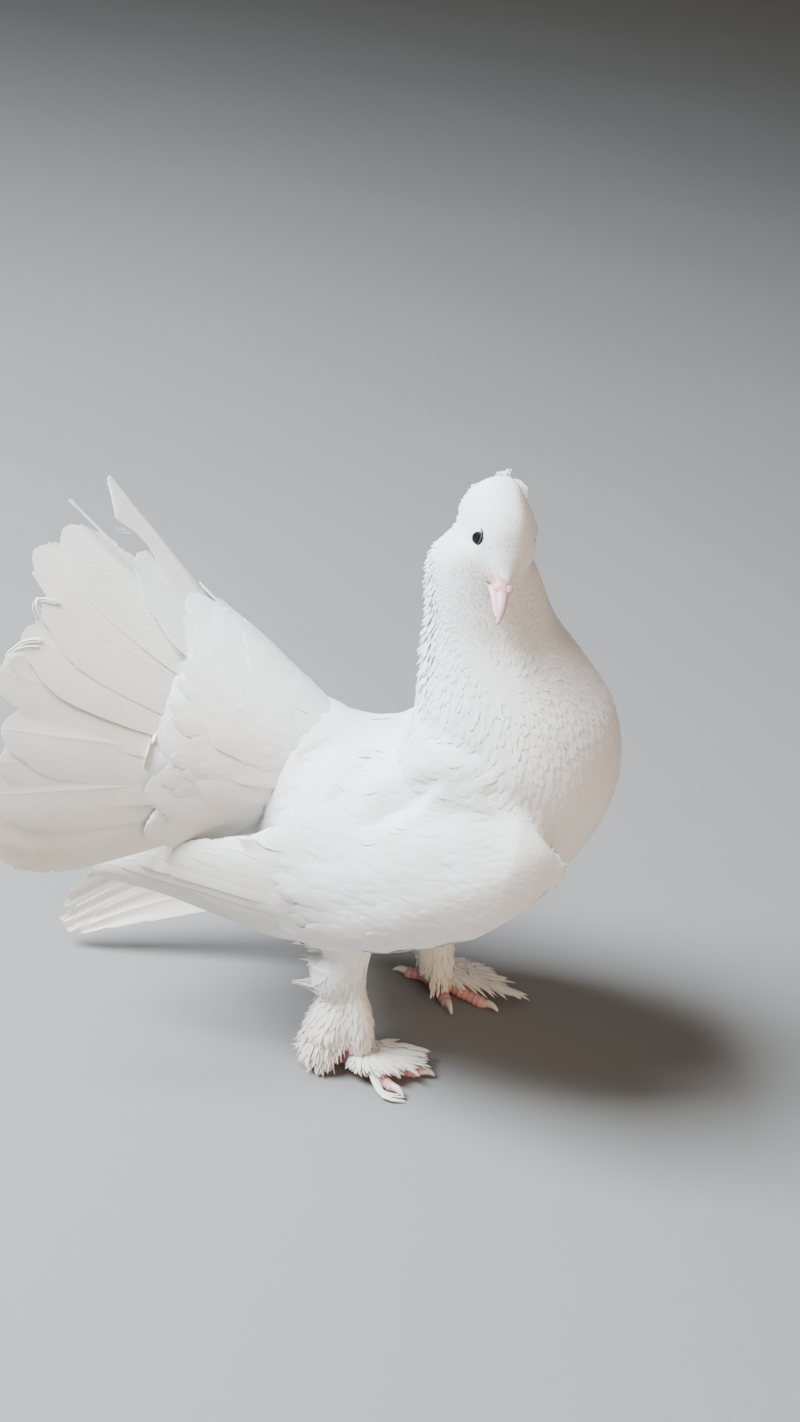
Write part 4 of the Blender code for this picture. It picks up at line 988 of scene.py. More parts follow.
# %% [markdown]
# ## Eyes first
# The coat has to leave the eyes and the bill free, so their places come before it. Each eye is a
# ball with a slight bulge for the cornea, sunk in the side of the head, with a narrow rim of bare
# skin round it.

# %% Eyes and rims
EYE_PLACE = {"left": np.array([4.6, 6.9, 3.2]), "right": np.array([5.4, -6.6, 3.4])}
EYE_RADIUS, RIM_RADIUS, RIM_THICK = 4.6, 3.45, 0.36
CORNEA_BULGE, EYE_TALL = 0.35, 1.15  # the bulge in millimetres, and how much taller than long the eye is
RIM_OUT, RIM_LONG, RIM_TALL = 3.35, 0.86, 1.18  # the rim's place outwards and its two stretches
EYE_GRID, RIM_GRID = (24, 40), (60, 16)
rim_centres = {}
for side_name, side in (("left", 1.0), ("right", -1.0)):
    centre = EYE_PLACE[side_name]
    out = unit(np.array([0.04, side, 0.02]))
    first = unit(np.cross(out, (0.0, 0.0, 1.0)))
    second = np.cross(out, first)
    slope, turn, _ = ball_rings(*EYE_GRID)
    reach = EYE_RADIUS + CORNEA_BULGE * np.exp(-((slope / 0.55) ** 2))
    ball = centre + (reach * np.cos(slope) + 0 * turn)[..., None] * out + (
        (reach * np.sin(slope) * np.cos(turn))[..., None] * first
        + (EYE_TALL * reach * np.sin(slope) * np.sin(turn))[..., None] * second)
    shape = closed_body(from_head(ball))
    ring_run = np.repeat(np.linspace(0.0, 1.0, EYE_GRID[0]), EYE_GRID[1])
    add_piece(f"eyeball_{side_name}", shape, eye_finish, (f"eye_{side_name}",),
              numbers={"along": np.clip(np.append(ring_run, (0.0, 1.0)) / 0.36, 0.0, 1.0)})
    turn, small = full_turn(RIM_GRID[0]), full_turn(RIM_GRID[1])
    thick = RIM_THICK * (1.0 + 0.08 * np.sin(13 * turn) + 0.05 * np.sin(29 * turn))
    rim_centre = centre + RIM_OUT * out
    spoke = RIM_LONG * np.cos(turn)[:, None] * first + RIM_TALL * np.sin(turn)[:, None] * second
    rings = rim_centre + (RIM_RADIUS + thick[:, None] * np.cos(small))[..., None] * spoke[:, None] \
        + (0.8 * thick[:, None] * np.sin(small))[..., None] * out
    index = np.arange(len(turn) * len(small)).reshape(RIM_GRID)
    beside = np.roll(index, -1, axis=0)
    walls = np.stack([index, beside, np.roll(beside, -1, axis=1), np.roll(index, -1, axis=1)], -1)
    add_piece(f"eye_rim_{side_name}", outward(from_head(rings.reshape(-1, 3)), [walls.reshape(-1, 4)]),
              rim_finish)
    rim_centres[side_name] = from_head(rim_centre)

# %% [markdown]
# ## The bill
# The upper half hooks a little over the lower one. Over the nostrils sits the cere, two soft
# whitish swellings. The nostril is a slit under the front edge of each: a row of points pushed in.

# %% Bill and cere
# Rows of both halves, like the head's: x ahead, top, low, half width.
BILL_UPPER = ((13, 3.4, -2.8, 4.5), (17, 3.2, -2.8, 4.3), (21, 2.3, -2.7, 3.4), (25, 1.5, -2.9, 2.8),
              (29, 0.7, -3.4, 2.2), (32.4, -1.2, -4.4, 1.5), (34.4, -3.7, -5.5, 0.6))
BILL_LOWER = ((13, -3.15, -6.6, 3.9), (18, -3.15, -6.4, 3.5), (23, -3.1, -5.9, 2.7), (28, -3.7, -5.8, 1.9),
              (31.6, -4.6, -5.7, 0.9))
CERE_PLACE, CERE_SIZE = np.array([23.2, 1.35, 0.5]), np.array([2.2, 2.1, 1.2])
NOSTRIL_PLACE = np.array([21.6, 3.3, 0.0])
BILL_RINGS, BILL_SIDES, GAPE_RINGS = 64, 44, 24


def pushed_in(points, centre, size, depth):
    """Points moved towards the middle of the bill near a centre: depth·exp(-(offset / size)²)."""
    near = np.exp(-(((points - centre) / size) ** 2).sum(-1))
    points[..., 1] -= np.sign(centre[1]) * depth * near
    return points


for name, table, node in (("bill_top", BILL_UPPER, "bill_upper"), ("bill_under", BILL_LOWER, "bill_lower")):
    rings = sections(head_rows(table), BILL_RINGS, BILL_SIDES, 2.2)
    slender = smooth_step(rings[..., 0], 15.0, 24.0)
    rings[..., 1] = rings[..., 1] * (1.0 - 0.16 * slender) - 0.5 - 0.055 * (rings[..., 0] - 13.0)
    for side in (1.0, -1.0):
        rings = pushed_in(rings, NOSTRIL_PLACE * (1.0, side, 1.0), np.array([2.2, 2.5, 0.55]), 1.1)
    share = np.repeat(np.linspace(0.0, 1.0, BILL_RINGS), BILL_SIDES)
    add_piece(name, closed_body(from_head(rings)), bill_finish, (node,),
              numbers={"along": np.append(share, (0.0, 1.0)) ** 1.6})
cere_parts = []
for side in (1.0, -1.0):
    slope, turn, ball = ball_rings(24, 36)
    wrinkle = 1.0 + 0.035 * np.sin(7 * slope + 2 * turn) + 0.025 * np.sin(5 * turn)
    ball = ball * wrinkle[..., None] * CERE_SIZE
    cere_parts.append(closed_body(from_head(ball + CERE_PLACE * (1.0, side, 1.0) - (0.0, 0.75, 0.0))))
add_piece("cere", joined(cere_parts), cere_finish)
# The gape: a thin dark tube from each corner of the mouth back into the cheek, coloured as the painted shade of
# the crease it lies in.
gape_shade_parts = []
for side in (1.0, -1.0):
    corner = through([(18.5, 3.9 * side - 0.6, -3.1), (15.5, 5.2 * side - 0.5, -3.3),
                      (12.5, 7.4 * side, -3.9), (9.5, 9.6 * side, -5.0)], GAPE_RINGS)
    gape_shade_parts.append(closed_body(from_head(tube_rings(corner, np.linspace(0.42, 0.16, GAPE_RINGS), 10))))
add_piece("gape_shade", joined(gape_shade_parts), gape_shade_finish)


# %% [markdown]
# ## Large vanes
# Tail and flight feathers are big enough to need their own parts: a raised shaft, an arched vane
# with a thin edge, a round tip, and here and there a split where barbs have come unzipped. Every
# vane is a grid of rows along it and columns across it, closed by a second face underneath.

# %% The vane maker
COLUMNS = np.array([-1.0, -0.92, -0.8, -0.64, -0.46, -0.28, -0.12, -0.04, 0.0, 0.04, 0.12, 0.28, 0.46, 0.64,
                    0.8, 0.92, 1.0])


def closed_vanes(sheets, normals, halves, runs, shaft_height, thickness=0.34):
    """Solid vanes from sheets of points (count, rows, columns, 3).

    Each face is the sheet ± half thickness; the edge is thin, and the shaft stands out as a ridge.
    """
    count, rows, columns, _ = sheets.shape
    c = COLUMNS
    body = thickness * (1.0 - 0.55 * np.abs(c) ** 3)
    ridge = np.exp(-((c / 0.045) ** 2))
    stems = shaft_height * (1.0 - 0.8 * np.linspace(0.0, 1.0, rows))[:, None] * ridge
    half = normals * ((body / 2 + stems)[None, ..., None])
    points = np.concatenate([(sheets + half).reshape(count, -1, 3), (sheets - half).reshape(count, -1, 3)], 1)
    quads = closed_pair(rows, columns)
    faces = (quads + (np.arange(count) * 2 * rows * columns)[:, None, None]).reshape(-1, 4)
    vane = np.stack([halves[..., None] * c, np.broadcast_to(runs[..., None], halves.shape + (columns,))], -1)
    vane = np.concatenate([vane.reshape(count, -1, 2)] * 2, 1).reshape(-1, 2)
    corner = points[0][quads[0]]
    turned = np.dot(np.cross(corner[1] - corner[0], corner[2] - corner[0]), normals.reshape(-1, 3)[0]) < 0
    return points.reshape(-1, 3), [faces[:, ::-1] if turned else faces], vane


def strips(count, rows, columns):
    """A sheet of UV strips, one for each vane, upper face beside lower face."""
    across = math.ceil(math.sqrt(count * 2))
    down = math.ceil(count / across * 2)
    k = np.arange(2 * count)
    corner = np.stack([(k % across) / across, (k // across) / down], -1)
    v, u = np.meshgrid(np.linspace(0.06, 0.94, rows) / down, np.linspace(0.06, 0.94, columns) / across,
                       indexing="ij")
    return (corner[:, None] + np.stack([u, v], -1).reshape(1, -1, 2)).reshape(-1, 2)


def blade(stations, widest=0.72, root=0.35, tip=0.3):
    """Share of the width along a feather: a sine rise to the widest place, then a quarter ellipse."""
    rise = root + (1 - root) * np.sin(np.clip(stations / widest, 0, 1) * math.pi / 2)
    past = np.clip((stations - widest) / (1 - widest), 0, 1)
    return rise * np.sqrt(np.maximum(1 - (1 - tip**2) * past**2, 0.0))


def splits(chance, count, rows, often, deep):
    """Notches in both edges: (count, rows, 2) shares cut away, as narrow Vs at chance rows."""
    row = np.arange(rows)
    cut = np.zeros((count, rows, 2))
    for _ in range(often):
        at = chance.uniform(0.45, 0.97, (count, 1, 2)) * rows
        size = deep * chance.uniform(0.0, 1.0, (count, 1, 2)) ** 2
        cut = np.maximum(cut, size * np.clip(1.0 - np.abs(row[None, :, None] - at) / 1.6, 0.0, 1.0))
    return cut


# %% [markdown]
# ## Flight feathers
# Sixteen feathers leave the fore part of each wing. Each covers the one above it with its lower
# edge, and the outer ones reach furthest back. The left wing hangs and its tips are spread and
# ruffled, so its vanes are wavy near the end.

# %% Flight feathers
TIP_X = {"right": (-98, -106, -114, -119, -116, -109, -101, -90, -80, -70, -60, -52, -49, -46, -43, -38),
         "left": (-115, -120, -124, -126, -125, -120, -109, -93, -84, -76, -70, -62, -52, -46, -42, -38)}
TIP_ANGLE = {"right": (-40, -32, -23, -13, -4, 2, 6, 9, 12, 15, 18, 24, 33, 43, 52, 61),
             "left": (-33, -29, -24, -18, -11, -4, 3, 8, 12, 16, 20, 26, 33, 43, 52, 61)}
FLIGHTS = 16
ROOT_ANGLE, ROOT_X = np.radians(np.linspace(-46.0, 50.0, FLIGHTS)), np.linspace(8.0, -6.0, FLIGHTS)
RUFFLE = {"right": 0.0, "left": 0.22}


def flight_sheets(seed, side_name, width=7.0, lift=2.2):
    """Sheets of one wing's flight feathers: root to tip in (x, angle), the lower edge lying higher."""
    chance = np.random.default_rng(seed)
    tip_x, tip_angle = np.array(TIP_X[side_name], float), np.radians(TIP_ANGLE[side_name])
    ruffle = RUFFLE[side_name]
    s = np.concatenate([np.linspace(0.0, 0.8, 24), np.linspace(0.8, 1.0, 17)[1:]])
    rows = len(s)
    x = ROOT_X[:, None] + (tip_x - ROOT_X)[:, None] * s
    angle = ROOT_ANGLE[:, None] + (tip_angle - ROOT_ANGLE)[:, None] * s**1.2
    pitch = np.gradient(ROOT_ANGLE)[:, None] * (1 - s) + np.gradient(tip_angle)[:, None] * s
    half = width * blade(s, 0.55, 0.7, 0.5)[None] * (1.0 + 0.02 * chance.normal(size=(FLIGHTS, 1)))
    near, beside = wing_surface(x, angle, 0 * x), wing_surface(x, angle + 0.01, 0 * x)
    per_mm = 0.01 / np.linalg.norm(beside - near, axis=-1)
    c = COLUMNS
    cut = splits(chance, FLIGHTS, rows, 2, 0.3)
    edge = np.where(c < 0, cut[..., :1], cut[..., 1:]) * np.abs(c) ** 2
    across = half[..., None] * c * (1.0 - edge)
    sunk = np.interp(-x, (0.0, 28.0, 46.0, 60.0), (-5.0, -2.0, 1.3, lift))
    step = np.where(np.arange(FLIGHTS) < 7, 0.75, 0.38)[:, None, None]
    rise = (sunk[..., None] - step * across * (per_mm / pitch)[..., None]
            - 0.045 * half[..., None] * c**2 + 0.10 * chance.normal(size=(FLIGHTS, 1, 1)))
    ridges = ruffle * smooth_step(s, 0.72, 0.95)[None, :, None]
    rise = rise + ridges * np.sin(7.5 * c + 6.28 * chance.uniform(0, 1, (FLIGHTS, 1, 1)))
    late = smooth_step(s, 0.8, 1.0)[None, :, None]
    frayed = (1.3 + 2.0 * ruffle) * chance.uniform(0, 1, (FLIGHTS, 1, len(c))) * np.abs(c)
    back = late * (0.62 * half[..., None] * c**2 + frayed)
    place = np.broadcast_to(x[..., None], across.shape) + back
    turned = angle[..., None] + across * per_mm[..., None]
    sheets, over = wing_surface(place, turned, rise), wing_surface(place, turned, rise + 1.0)
    run = s[None] * np.linalg.norm(near[:, -1] - near[:, 0], axis=-1)[:, None]
    return sheets, over, half, run


flights = {}
for side_name, moved in MOVED.items():
    seed = {"right": 51, "left": 52}[side_name]
    sheets, over, half, run = flight_sheets(seed, side_name)
    sheets, over = moved(sheets), moved(over)
    points, faces, vane = closed_vanes(sheets, unit(over - sheets), half, run, 0.28)
    chance = np.random.default_rng(seed)
    rows = sheets.shape[1]
    # beige towards the lowest flight feathers, which face down: painted shade, with a little random tone
    tones = np.linspace(0.75, 0.0, FLIGHTS) + chance.uniform(-0.08, 0.08, FLIGHTS)
    tones = np.repeat(tones, 2 * rows * len(COLUMNS))
    add_piece(f"wing_flights_{side_name}", (points, faces), vane_finish, (f"wing_{side_name}",),
              {"OFBake": strips(FLIGHTS, rows, len(COLUMNS)), "vane": vane}, {"tone": tones}, crease=50)
    flights[side_name] = (points, faces)

# %% [markdown]
# ## The tail
# A fantail has many more tail feathers than a wild pigeon. The middle one lies on top, and each
# further out lies under its neighbour. Two feathers at the top are worn: one is broken along one
# side, one is little more than its shaft. Shorter feathers cover the roots in tiers.

# %% Tail feathers and coverts
TAIL_FEATHERS, TAIL_WIDTH, VANE_STEP = 25, 15.5, 1.0
PLACED = {  # feathers near the middle: place in the fan and length
    -7: (-0.605, 125.0), -6: (-0.515, 121.5), -5: (-0.42, 120.0), -4: (-0.325, 131.5), -3: (-0.225, 127.5),
    -2: (-0.157, 133.0), -1: (-0.095, 101.5), 0: (0.025, 129.5), 1: (0.14, 90.0), 2: (0.235, 105.0)}
WORN_STATIONS = (0.3, 0.55, 0.70, 0.735, 0.78, 0.83, 0.87, 0.925, 0.96, 1.0)
WORN = {  # share of the width at those stations, on the outer edge and on the inner edge
    -2: ((1.0, 0.9, 0.4, 0.14, 0.07, 0.06, 0.06, 0.06, 0.06, 0.12),
         (1.0, 0.9, 0.4, 0.12, 0.07, 0.06, 0.05, 0.05, 0.06, 0.10)),
    0: ((1.0, 0.95, 0.62, 0.50, 0.44, 0.52, 0.70, 1.0, 0.80, 0.50),
        (1.0, 0.6, 0.32, 0.24, 0.20, 0.18, 0.16, 0.14, 0.12, 0.08)),
    1: ((1.0, 0.9, 0.7, 0.66, 0.6, 0.56, 0.5, 0.5, 0.5, 0.5),
        (1.0, 0.6, 0.5, 0.45, 0.4, 0.4, 0.4, 0.4, 0.4, 0.4))}
MIDDLE_LIFT = (1.2, 1.6, 2.4, 2.6, 2.9, 3.2, 3.4, 3.8, 4.0, 4.2)


def fan_places(count):
    """Even places across the fan by the angle between neighbours, and the pitch between them."""
    t = np.linspace(-1.0, 1.0, 401)
    steps = np.linalg.norm(np.diff(fan_direction(t), axis=0), axis=1)
    run = np.concatenate([[0.0], np.cumsum(steps)])
    places = np.interp(np.linspace(0.0, run[-1], count), run, t)
    return places, np.gradient(places)


def fan_sheets(t, pitch, length, half, lift, s, step, wave):
    """Sheets of vanes on the fan: t moves with the distance across, and the outer edge lies higher."""
    away = length[:, None] * s
    near, beside = (fan_point(away, np.broadcast_to((t + d)[:, None], away.shape), 0 * away)
                    for d in (0.0, 0.01))
    per_mm = 0.01 / np.linalg.norm(beside - near, axis=-1)
    side = np.where(np.abs(t) < pitch / 3, 0.0, np.sign(t))
    c = COLUMNS
    across = half * c
    rise = (lift[..., None] + step * side[:, None, None] * across * per_mm[..., None] / pitch[:, None, None]
            - 0.006 * across**2 / np.maximum(half.max(), 1.0) * 8.0 + wave)
    late = smooth_step(s, 0.82, 1.0)[None, :, None]
    reach = np.broadcast_to(away[..., None], across.shape) - late * 0.42 * np.abs(across) * np.abs(c)
    return reach, t[:, None, None] + across * per_mm[..., None], rise


def add_fan(name, t, pitch, length, width, lift, s, seed, nodes=(), narrow=None, deep=0.22, step=VANE_STEP,
            shaft=0.34, tone=(0.05, 0.35), tip=0.55, ragged=2.6):
    """One tier of the fan as a piece; narrow holds shares of the width on the right and left edges."""
    chance = np.random.default_rng(seed)
    count, rows, c = len(t), len(s), COLUMNS
    full = width * blade(s, 0.75, 0.3, tip)[None, :] * np.ones((count, 1))
    full = full * (1.0 + 0.025 * np.cumsum(chance.normal(size=(count, rows)), 1) / math.sqrt(rows))
    narrow = np.ones((count, rows, 2)) if narrow is None else narrow
    half = full[..., None] * np.where(c < 0, narrow[..., :1], narrow[..., 1:])
    bend = chance.normal(size=(count, 1, 1)) * 0.5 * s[None, :, None] ** 2
    wave = bend + 0.22 * np.sin(7.0 * s[None, :, None] + 6.28 * chance.uniform(0, 1, (count, 1, 1)) + 2.2 * c)
    reach, across, rise = fan_sheets(t, pitch, length, half, lift, s, step, wave)
    cut = splits(chance, count, rows, 2, deep)
    edge = np.where(c < 0, cut[..., :1], cut[..., 1:])
    across = across - (across - t[:, None, None]) * edge * np.abs(c) ** 2
    torn = smooth_step(s, 0.93, 1.0)[None, :, None] * chance.uniform(0.0, ragged, (count, 1, len(c)))
    reach = reach - torn * np.abs(c) * narrow.mean(-1)[..., None]
    sheets = fan_point(reach, across, rise)
    over = fan_point(reach, across, rise + 1.0)
    points, faces, vane = closed_vanes(sheets, unit(over - sheets), full, length[:, None] * s, shaft)
    # painted shade: a beige band across the lower middle of the fan and more on its lowest feathers, which turn
    # from the light, added to a random tone
    fan_shade = 0.5 * np.exp(-(((t + 0.5) / 0.28) ** 2)) + 0.2 * smooth_step(-t, 0.6, 0.9)
    tones = np.repeat(chance.uniform(*tone, count) + fan_shade, 2 * rows * len(c))
    add_piece(name, (points, faces), vane_finish, nodes,
              {"OFBake": strips(count, rows, len(c)), "vane": vane}, {"tone": tones}, crease=50)


chance = np.random.default_rng(11)
places, _ = fan_places(TAIL_FEATHERS)
lengths = TAIL_LENGTH * chance.uniform(0.95, 1.0, TAIL_FEATHERS)
stations = np.concatenate([np.linspace(0.28, 0.72, 18), np.linspace(0.72, 1.0, 34)[1:]])
narrow = np.ones((TAIL_FEATHERS, len(stations), 2))
lift = np.zeros((TAIL_FEATHERS, len(stations)))
MIDDLE = TAIL_FEATHERS // 2
for number, (place, long) in PLACED.items():
    places[MIDDLE + number], lengths[MIDDLE + number] = place, long
for number, widths in WORN.items():
    narrow[MIDDLE + number] = np.stack([np.interp(stations, WORN_STATIONS, w) for w in widths], -1)
lift[MIDDLE] = np.interp(stations, WORN_STATIONS, MIDDLE_LIFT)
lift[MIDDLE - 2] = 2.4
add_fan("tail_fan", places, np.gradient(places), lengths, TAIL_WIDTH, lift, stations, 12, ("tail",), narrow)


def over_rump(away, t):
    """Height of the rump's wedge above the fan: from a table, falling to the sides as a half ellipse."""
    wedge = np.interp(away, (6, 22, 41, 57, 66, 80, 124), (11.9, 10.6, 8.3, 5.7, 3.8, 2.1, 1.5))
    return 1.4 + (wedge - 1.4) * np.sqrt(np.clip(1.0 - (t / 1.12) ** 2, 0.0, 1.0))


for name, count, reach, wide, height, seed in (
        ("tail_coverts_long", 15, (0.50, 0.66), 13.0, 0.7, 41),
        ("tail_coverts_middle", 17, (0.40, 0.52), 11.0, 0.8, 42)):
    chance = np.random.default_rng(seed)
    t, pitch = fan_places(count)
    t = t + 0.25 * pitch * chance.normal(size=count)
    length = TAIL_LENGTH * chance.uniform(*reach, count) * (1.0 - 0.2 * smooth_step(-t, 0.2, 0.5))
    s = np.linspace(0.12, 1.0, 24)
    lift = over_rump(length[:, None] * s, t[:, None]) + height + chance.uniform(-0.15, 0.15, (count, 1)) \
        - 2.5 * (1.0 - s) ** 2
    add_fan(name, t, pitch, length, wide, lift, s, seed, deep=0.0, shaft=0.05, tone=(0.0, 0.22), step=0.2,
            tip=0.45, ragged=1.6)

# %% [markdown]
# At two feathers' ends a few barbs have come loose and hang as curled threads, and one hangs from
# the edge of the broken feather. Each bundle follows one line of places in the fan.

# %% Loose barbs
FRAY_STRANDS, FRAY_ROWS = 6, 9
FRAYS = (  # places (t, distance from the root) along each bundle
    ((-0.407, 115), (-0.423, 121.5), (-0.44, 121.6), (-0.449, 119.9), (-0.459, 117.7), (-0.462, 115.5)),
    ((-0.515, 115), (-0.534, 120.6), (-0.557, 123.2), (-0.576, 124.4), (-0.589, 121.9), (-0.596, 118.3)),
    ((0.049, 106), (-0.019, 107.4), (-0.058, 109.0), (-0.084, 112.2)))
chance = np.random.default_rng(43)
fray_lines = []
for row in FRAYS:
    place = through(row, FRAY_ROWS)[None] + chance.normal(size=(FRAY_STRANDS, 1, 2)) * (0.004, 0.5) \
        + np.linspace(0.0, 1.0, FRAY_ROWS)[None, :, None] \
        * chance.normal(size=(FRAY_STRANDS, 1, 2)) * (0.010, 0.9)
    height = 1.0 + 0.4 * chance.normal(size=(FRAY_STRANDS, FRAY_ROWS)).cumsum(1) / 3.0
    fray_lines.append(fan_point(place[..., 1], place[..., 0], height))
fray_lines = np.concatenate(fray_lines)
frays = plumes(fray_lines, square_to(fray_lines, (0.1, -0.4, 0.9)),
               chance.uniform(0.16, 0.34, len(fray_lines)), np.linspace(1.0, 0.3, FRAY_ROWS), crown=0.3, seed=44)
add_tufts("tail_frays", [frays], fray_lines[:, 0], np.full(len(fray_lines), 0.1), FRAY_ROWS)

# %% [markdown]
# Where the back rises into the tail, small soft feathers lie like those of the body. They point
# away from one spot before the tail's root, so they fan out as the large feathers do, and they
# grow wider towards the last row.

# %% The soft coverts over the rump
RUMP_REACH = 52.0  # how far from the tail's root they go
away_grid, t_grid = np.meshgrid(np.linspace(3.0, 82.0, 60), np.linspace(-1.06, 1.06, 100), indexing="ij")
rump_top = fan_point(away_grid, t_grid, over_rump(away_grid, t_grid) + 0.9).reshape(-1, 3)
rump_surface = surface_of(rump_top, [grid(*away_grid.shape)[1]])
FAN_HUB = TAIL_ROOT + (18.0, 0.0, -2.0)


def rump_width(points):
    """Full width of a covert: 5 mm at the body, 9 mm at the last row."""
    return 5.0 + 4.0 * smooth_step(np.linalg.norm(points - TAIL_ROOT, axis=1), 12.0, RUMP_REACH)


roots, root_normals = scattered(rump_surface, lambda p: 0.5 * rump_width(p), 47,
                                lambda p: 1.0 * (np.linalg.norm(p - TAIL_ROOT, axis=1) < RUMP_REACH))
chance = np.random.default_rng(48)
width = rump_width(roots) * chance.uniform(0.85, 1.15, len(roots))
way = flatten(unit(roots - FAN_HUB) + 0.08 * chance.normal(size=roots.shape), root_normals)
tip_lift = 0.05 * width * chance.uniform(0.5, 1.5, len(roots))
s = np.linspace(0, 1, 6)
lifts = -0.5 + (tip_lift + 0.5)[:, None] * (0.6 * s + 0.4 * s**2)
# painted shade: more beige on the near side of the rump, which faces away from the light, scattered at random
shaded_near_side = smooth_step(-roots[:, 1], 12.0, 34.0)
tone = np.clip(0.08 + 0.5 * shaded_near_side * chance.uniform(0.2, 1.0, len(roots)), 0, 1)
add_coat("tail_coverts_short", rump_surface, roots, root_normals, way, 2.1 * width, 0.5 * width, lifts, tone,
         49, np.array([0.5, 0.9, 1.0, 0.98, 0.8, 0.36]), crown=0.08, fray=0.05)

# %% [markdown]
# ## The body's coat
# Width is the one size that the rest follows: a plume is a little over twice as long as wide, and
# roots stand about half a width apart, so every spot lies under four or five plumes. On the hind
# neck the plumes stand off a little, which gives the neck its ragged edge. The coverts of the
# wing are larger, lie flatter, and the last ones run out over the flight feathers.

# %% Plume sizes over the bird
def wing_place(points):
    """Share of the wing's length and 1 on its fore part, falling to 0 round it, on both flanks."""
    x, y, z = points.T
    mid, wide, tall = wing_section(x)
    u = (WRIST_X - x) / PLATE_LENGTH
    low, high = plate_edges(np.clip(u, 0.0, PLATE_REACH))
    angle = np.degrees(np.arctan2((z - mid) / tall, np.abs(y) / wide))
    inside = smooth_step(angle - low, -6.0, 4.0) * smooth_step(high - angle, -8.0, 4.0)
    return np.clip(u, 0.0, 1.2), inside * smooth_step(u, -0.04, 0.06) \
        * smooth_step(np.interp(angle, REACH_ANGLES, REACH_SHARES) - u, -0.06, 0.02)


def plume_width(points):
    """Full width of a plume in millimetres, by place."""
    head = to_head(points)
    from_bill = np.linalg.norm(head - (17.0, 0.0, -1.0), axis=1)
    face = 1.0 + 0.8 * smooth_step(from_bill, 3.0, 26.0)
    neck = 1.6 + 2.6 * smooth_step(-points[:, 2], -208.0, -130.0)
    on_head = smooth_step(-np.linalg.norm(head * (1.0, 1.0, 1.1), axis=1), -22.0, -16.0)
    body = neck + 3.0 * smooth_step(-points[:, 0], -16.0, 30.0) * smooth_step(-points[:, 2], -165.0, -140.0)
    share, on_wing = wing_place(points)
    body = body + on_wing * (3.2 + 5.0 * share**0.9 - body)
    return face * on_head + body * (1.0 - on_head)


flights_tree = surface_of(*joined(list(flights.values())))[0]
UNDER_WING = 9.0  # skin that near under a flight feather stays bare
NECK_BASE, NECK_SPLIT = 150.0, -8.0  # height where the neck's coat begins, and the y that halves it


def on_coat(points, normals):
    """True where plumes grow: not on the bill, in an eye, low on a leg, on the tail or under a wing."""
    head = to_head(points)
    bill = (head[:, 0] > 21.3) & (np.abs(head[:, 1] + 0.5) < 4.3) & (head[:, 2] > -7.0) & (head[:, 2] < 1.3)
    eye = np.min([np.linalg.norm((head - to_head(c)) * (1.06, 1.0, 0.80), axis=1)
                  for c in rim_centres.values()], axis=0) < 3.75
    from_tail = np.linalg.norm(points - TAIL_ROOT, axis=1)
    tail = (from_tail > 26.0) & (points[:, 0] < -60.0) & (normals[:, 2] > 0.0)
    kept = ~(bill | eye | tail | (points[:, 2] < 40.0))
    start = points + 0.4 * normals
    under = [flights_tree.ray_cast(p, n, UNDER_WING)[0] is not None
             for p, n in zip(start.tolist(), normals.tolist())]
    return kept & ~np.array(under)


roots, root_normals = scattered(SKIN, lambda p: 0.54 * plume_width(p), 7, lambda p: 1.0 * (p[:, 2] > 38.0))
keep = on_coat(roots, root_normals)
roots, root_normals = roots[keep], root_normals[keep]
print("body plumes:", len(roots))

# %% [markdown]
# Each plume gets its direction first: the lie of the coat, straight back on the wing, down on the
# thigh, and outwards round the eyes. Then come its length and how far its tip stands off. Where
# the surface bends away in a fold, a plume is shortened, or left out if it would bridge the fold.

# %% Laying the plumes
BED = surface_of(*joined([(skin_points, skin_faces)] + list(flights.values())))
chance = np.random.default_rng(21)
count = len(roots)
width = plume_width(roots) * chance.uniform(0.88, 1.15, count)
share, on_wing = wing_place(roots)
fall = -0.10 - 0.55 * smooth_step(roots[:, 2], 100.0, 150.0) * (1.0 - 0.4 * share)
wing_way = np.stack([-np.ones(count), 0 * fall, fall], -1)
hangs = (smooth_step(-roots[:, 0], 0.0, 40.0) * (roots[:, 1] > 0.0))[:, None]
wing_way = wing_way + np.array([0.0, -0.45, -0.3]) * hangs
way = lie_of_coat(roots, root_normals) * (1.0 - on_wing)[:, None] + wing_way * on_wing[:, None]
thigh = np.max([smooth_step(-np.linalg.norm((roots - line[8])[:, :2], axis=1), -20.0, -12.0)
                for line in leg_lines.values()], axis=0) * smooth_step(-roots[:, 2], -64.0, -50.0)
way = way * (1.0 - thigh)[:, None] + np.array([-0.2, 0.0, -1.0]) * thigh[:, None]
for centre in rim_centres.values():  # plumes part round the eyes
    off = roots - centre
    far = np.linalg.norm(off, axis=1, keepdims=True)
    way = way + 1.6 * np.exp(-(far - 3.8) / 2.0) * off / far * (far < 14.0)
heads_in = (unit(way) * root_normals).sum(1) < -0.8
way = flatten(way + 0.12 * chance.normal(size=(count, 3)), root_normals)
head_place = to_head(roots)
near_head = smooth_step(-np.linalg.norm(head_place, axis=1), -24.0, -17.0)
hind_neck = smooth_step(-root_normals[:, 0], 0.62, 0.95) * smooth_step(roots[:, 2], 158.0, 182.0) \
    * (1.0 - 0.6 * near_head)
neck_part = smooth_step(roots[:, 2], 150.0, 185.0) * (1.0 - near_head)
slim = 1.0 - 0.34 * neck_part
length = width * (2.3 + 0.8 * neck_part) * chance.uniform(0.9, 1.15, count)
smooth_part = 1.0 - 0.65 * on_wing
ruffled = on_wing * smooth_step(-np.abs(roots[:, 0] + 26.0), -16.0, -6.0) \
    * smooth_step(-roots[:, 2], -94.0, -84.0)
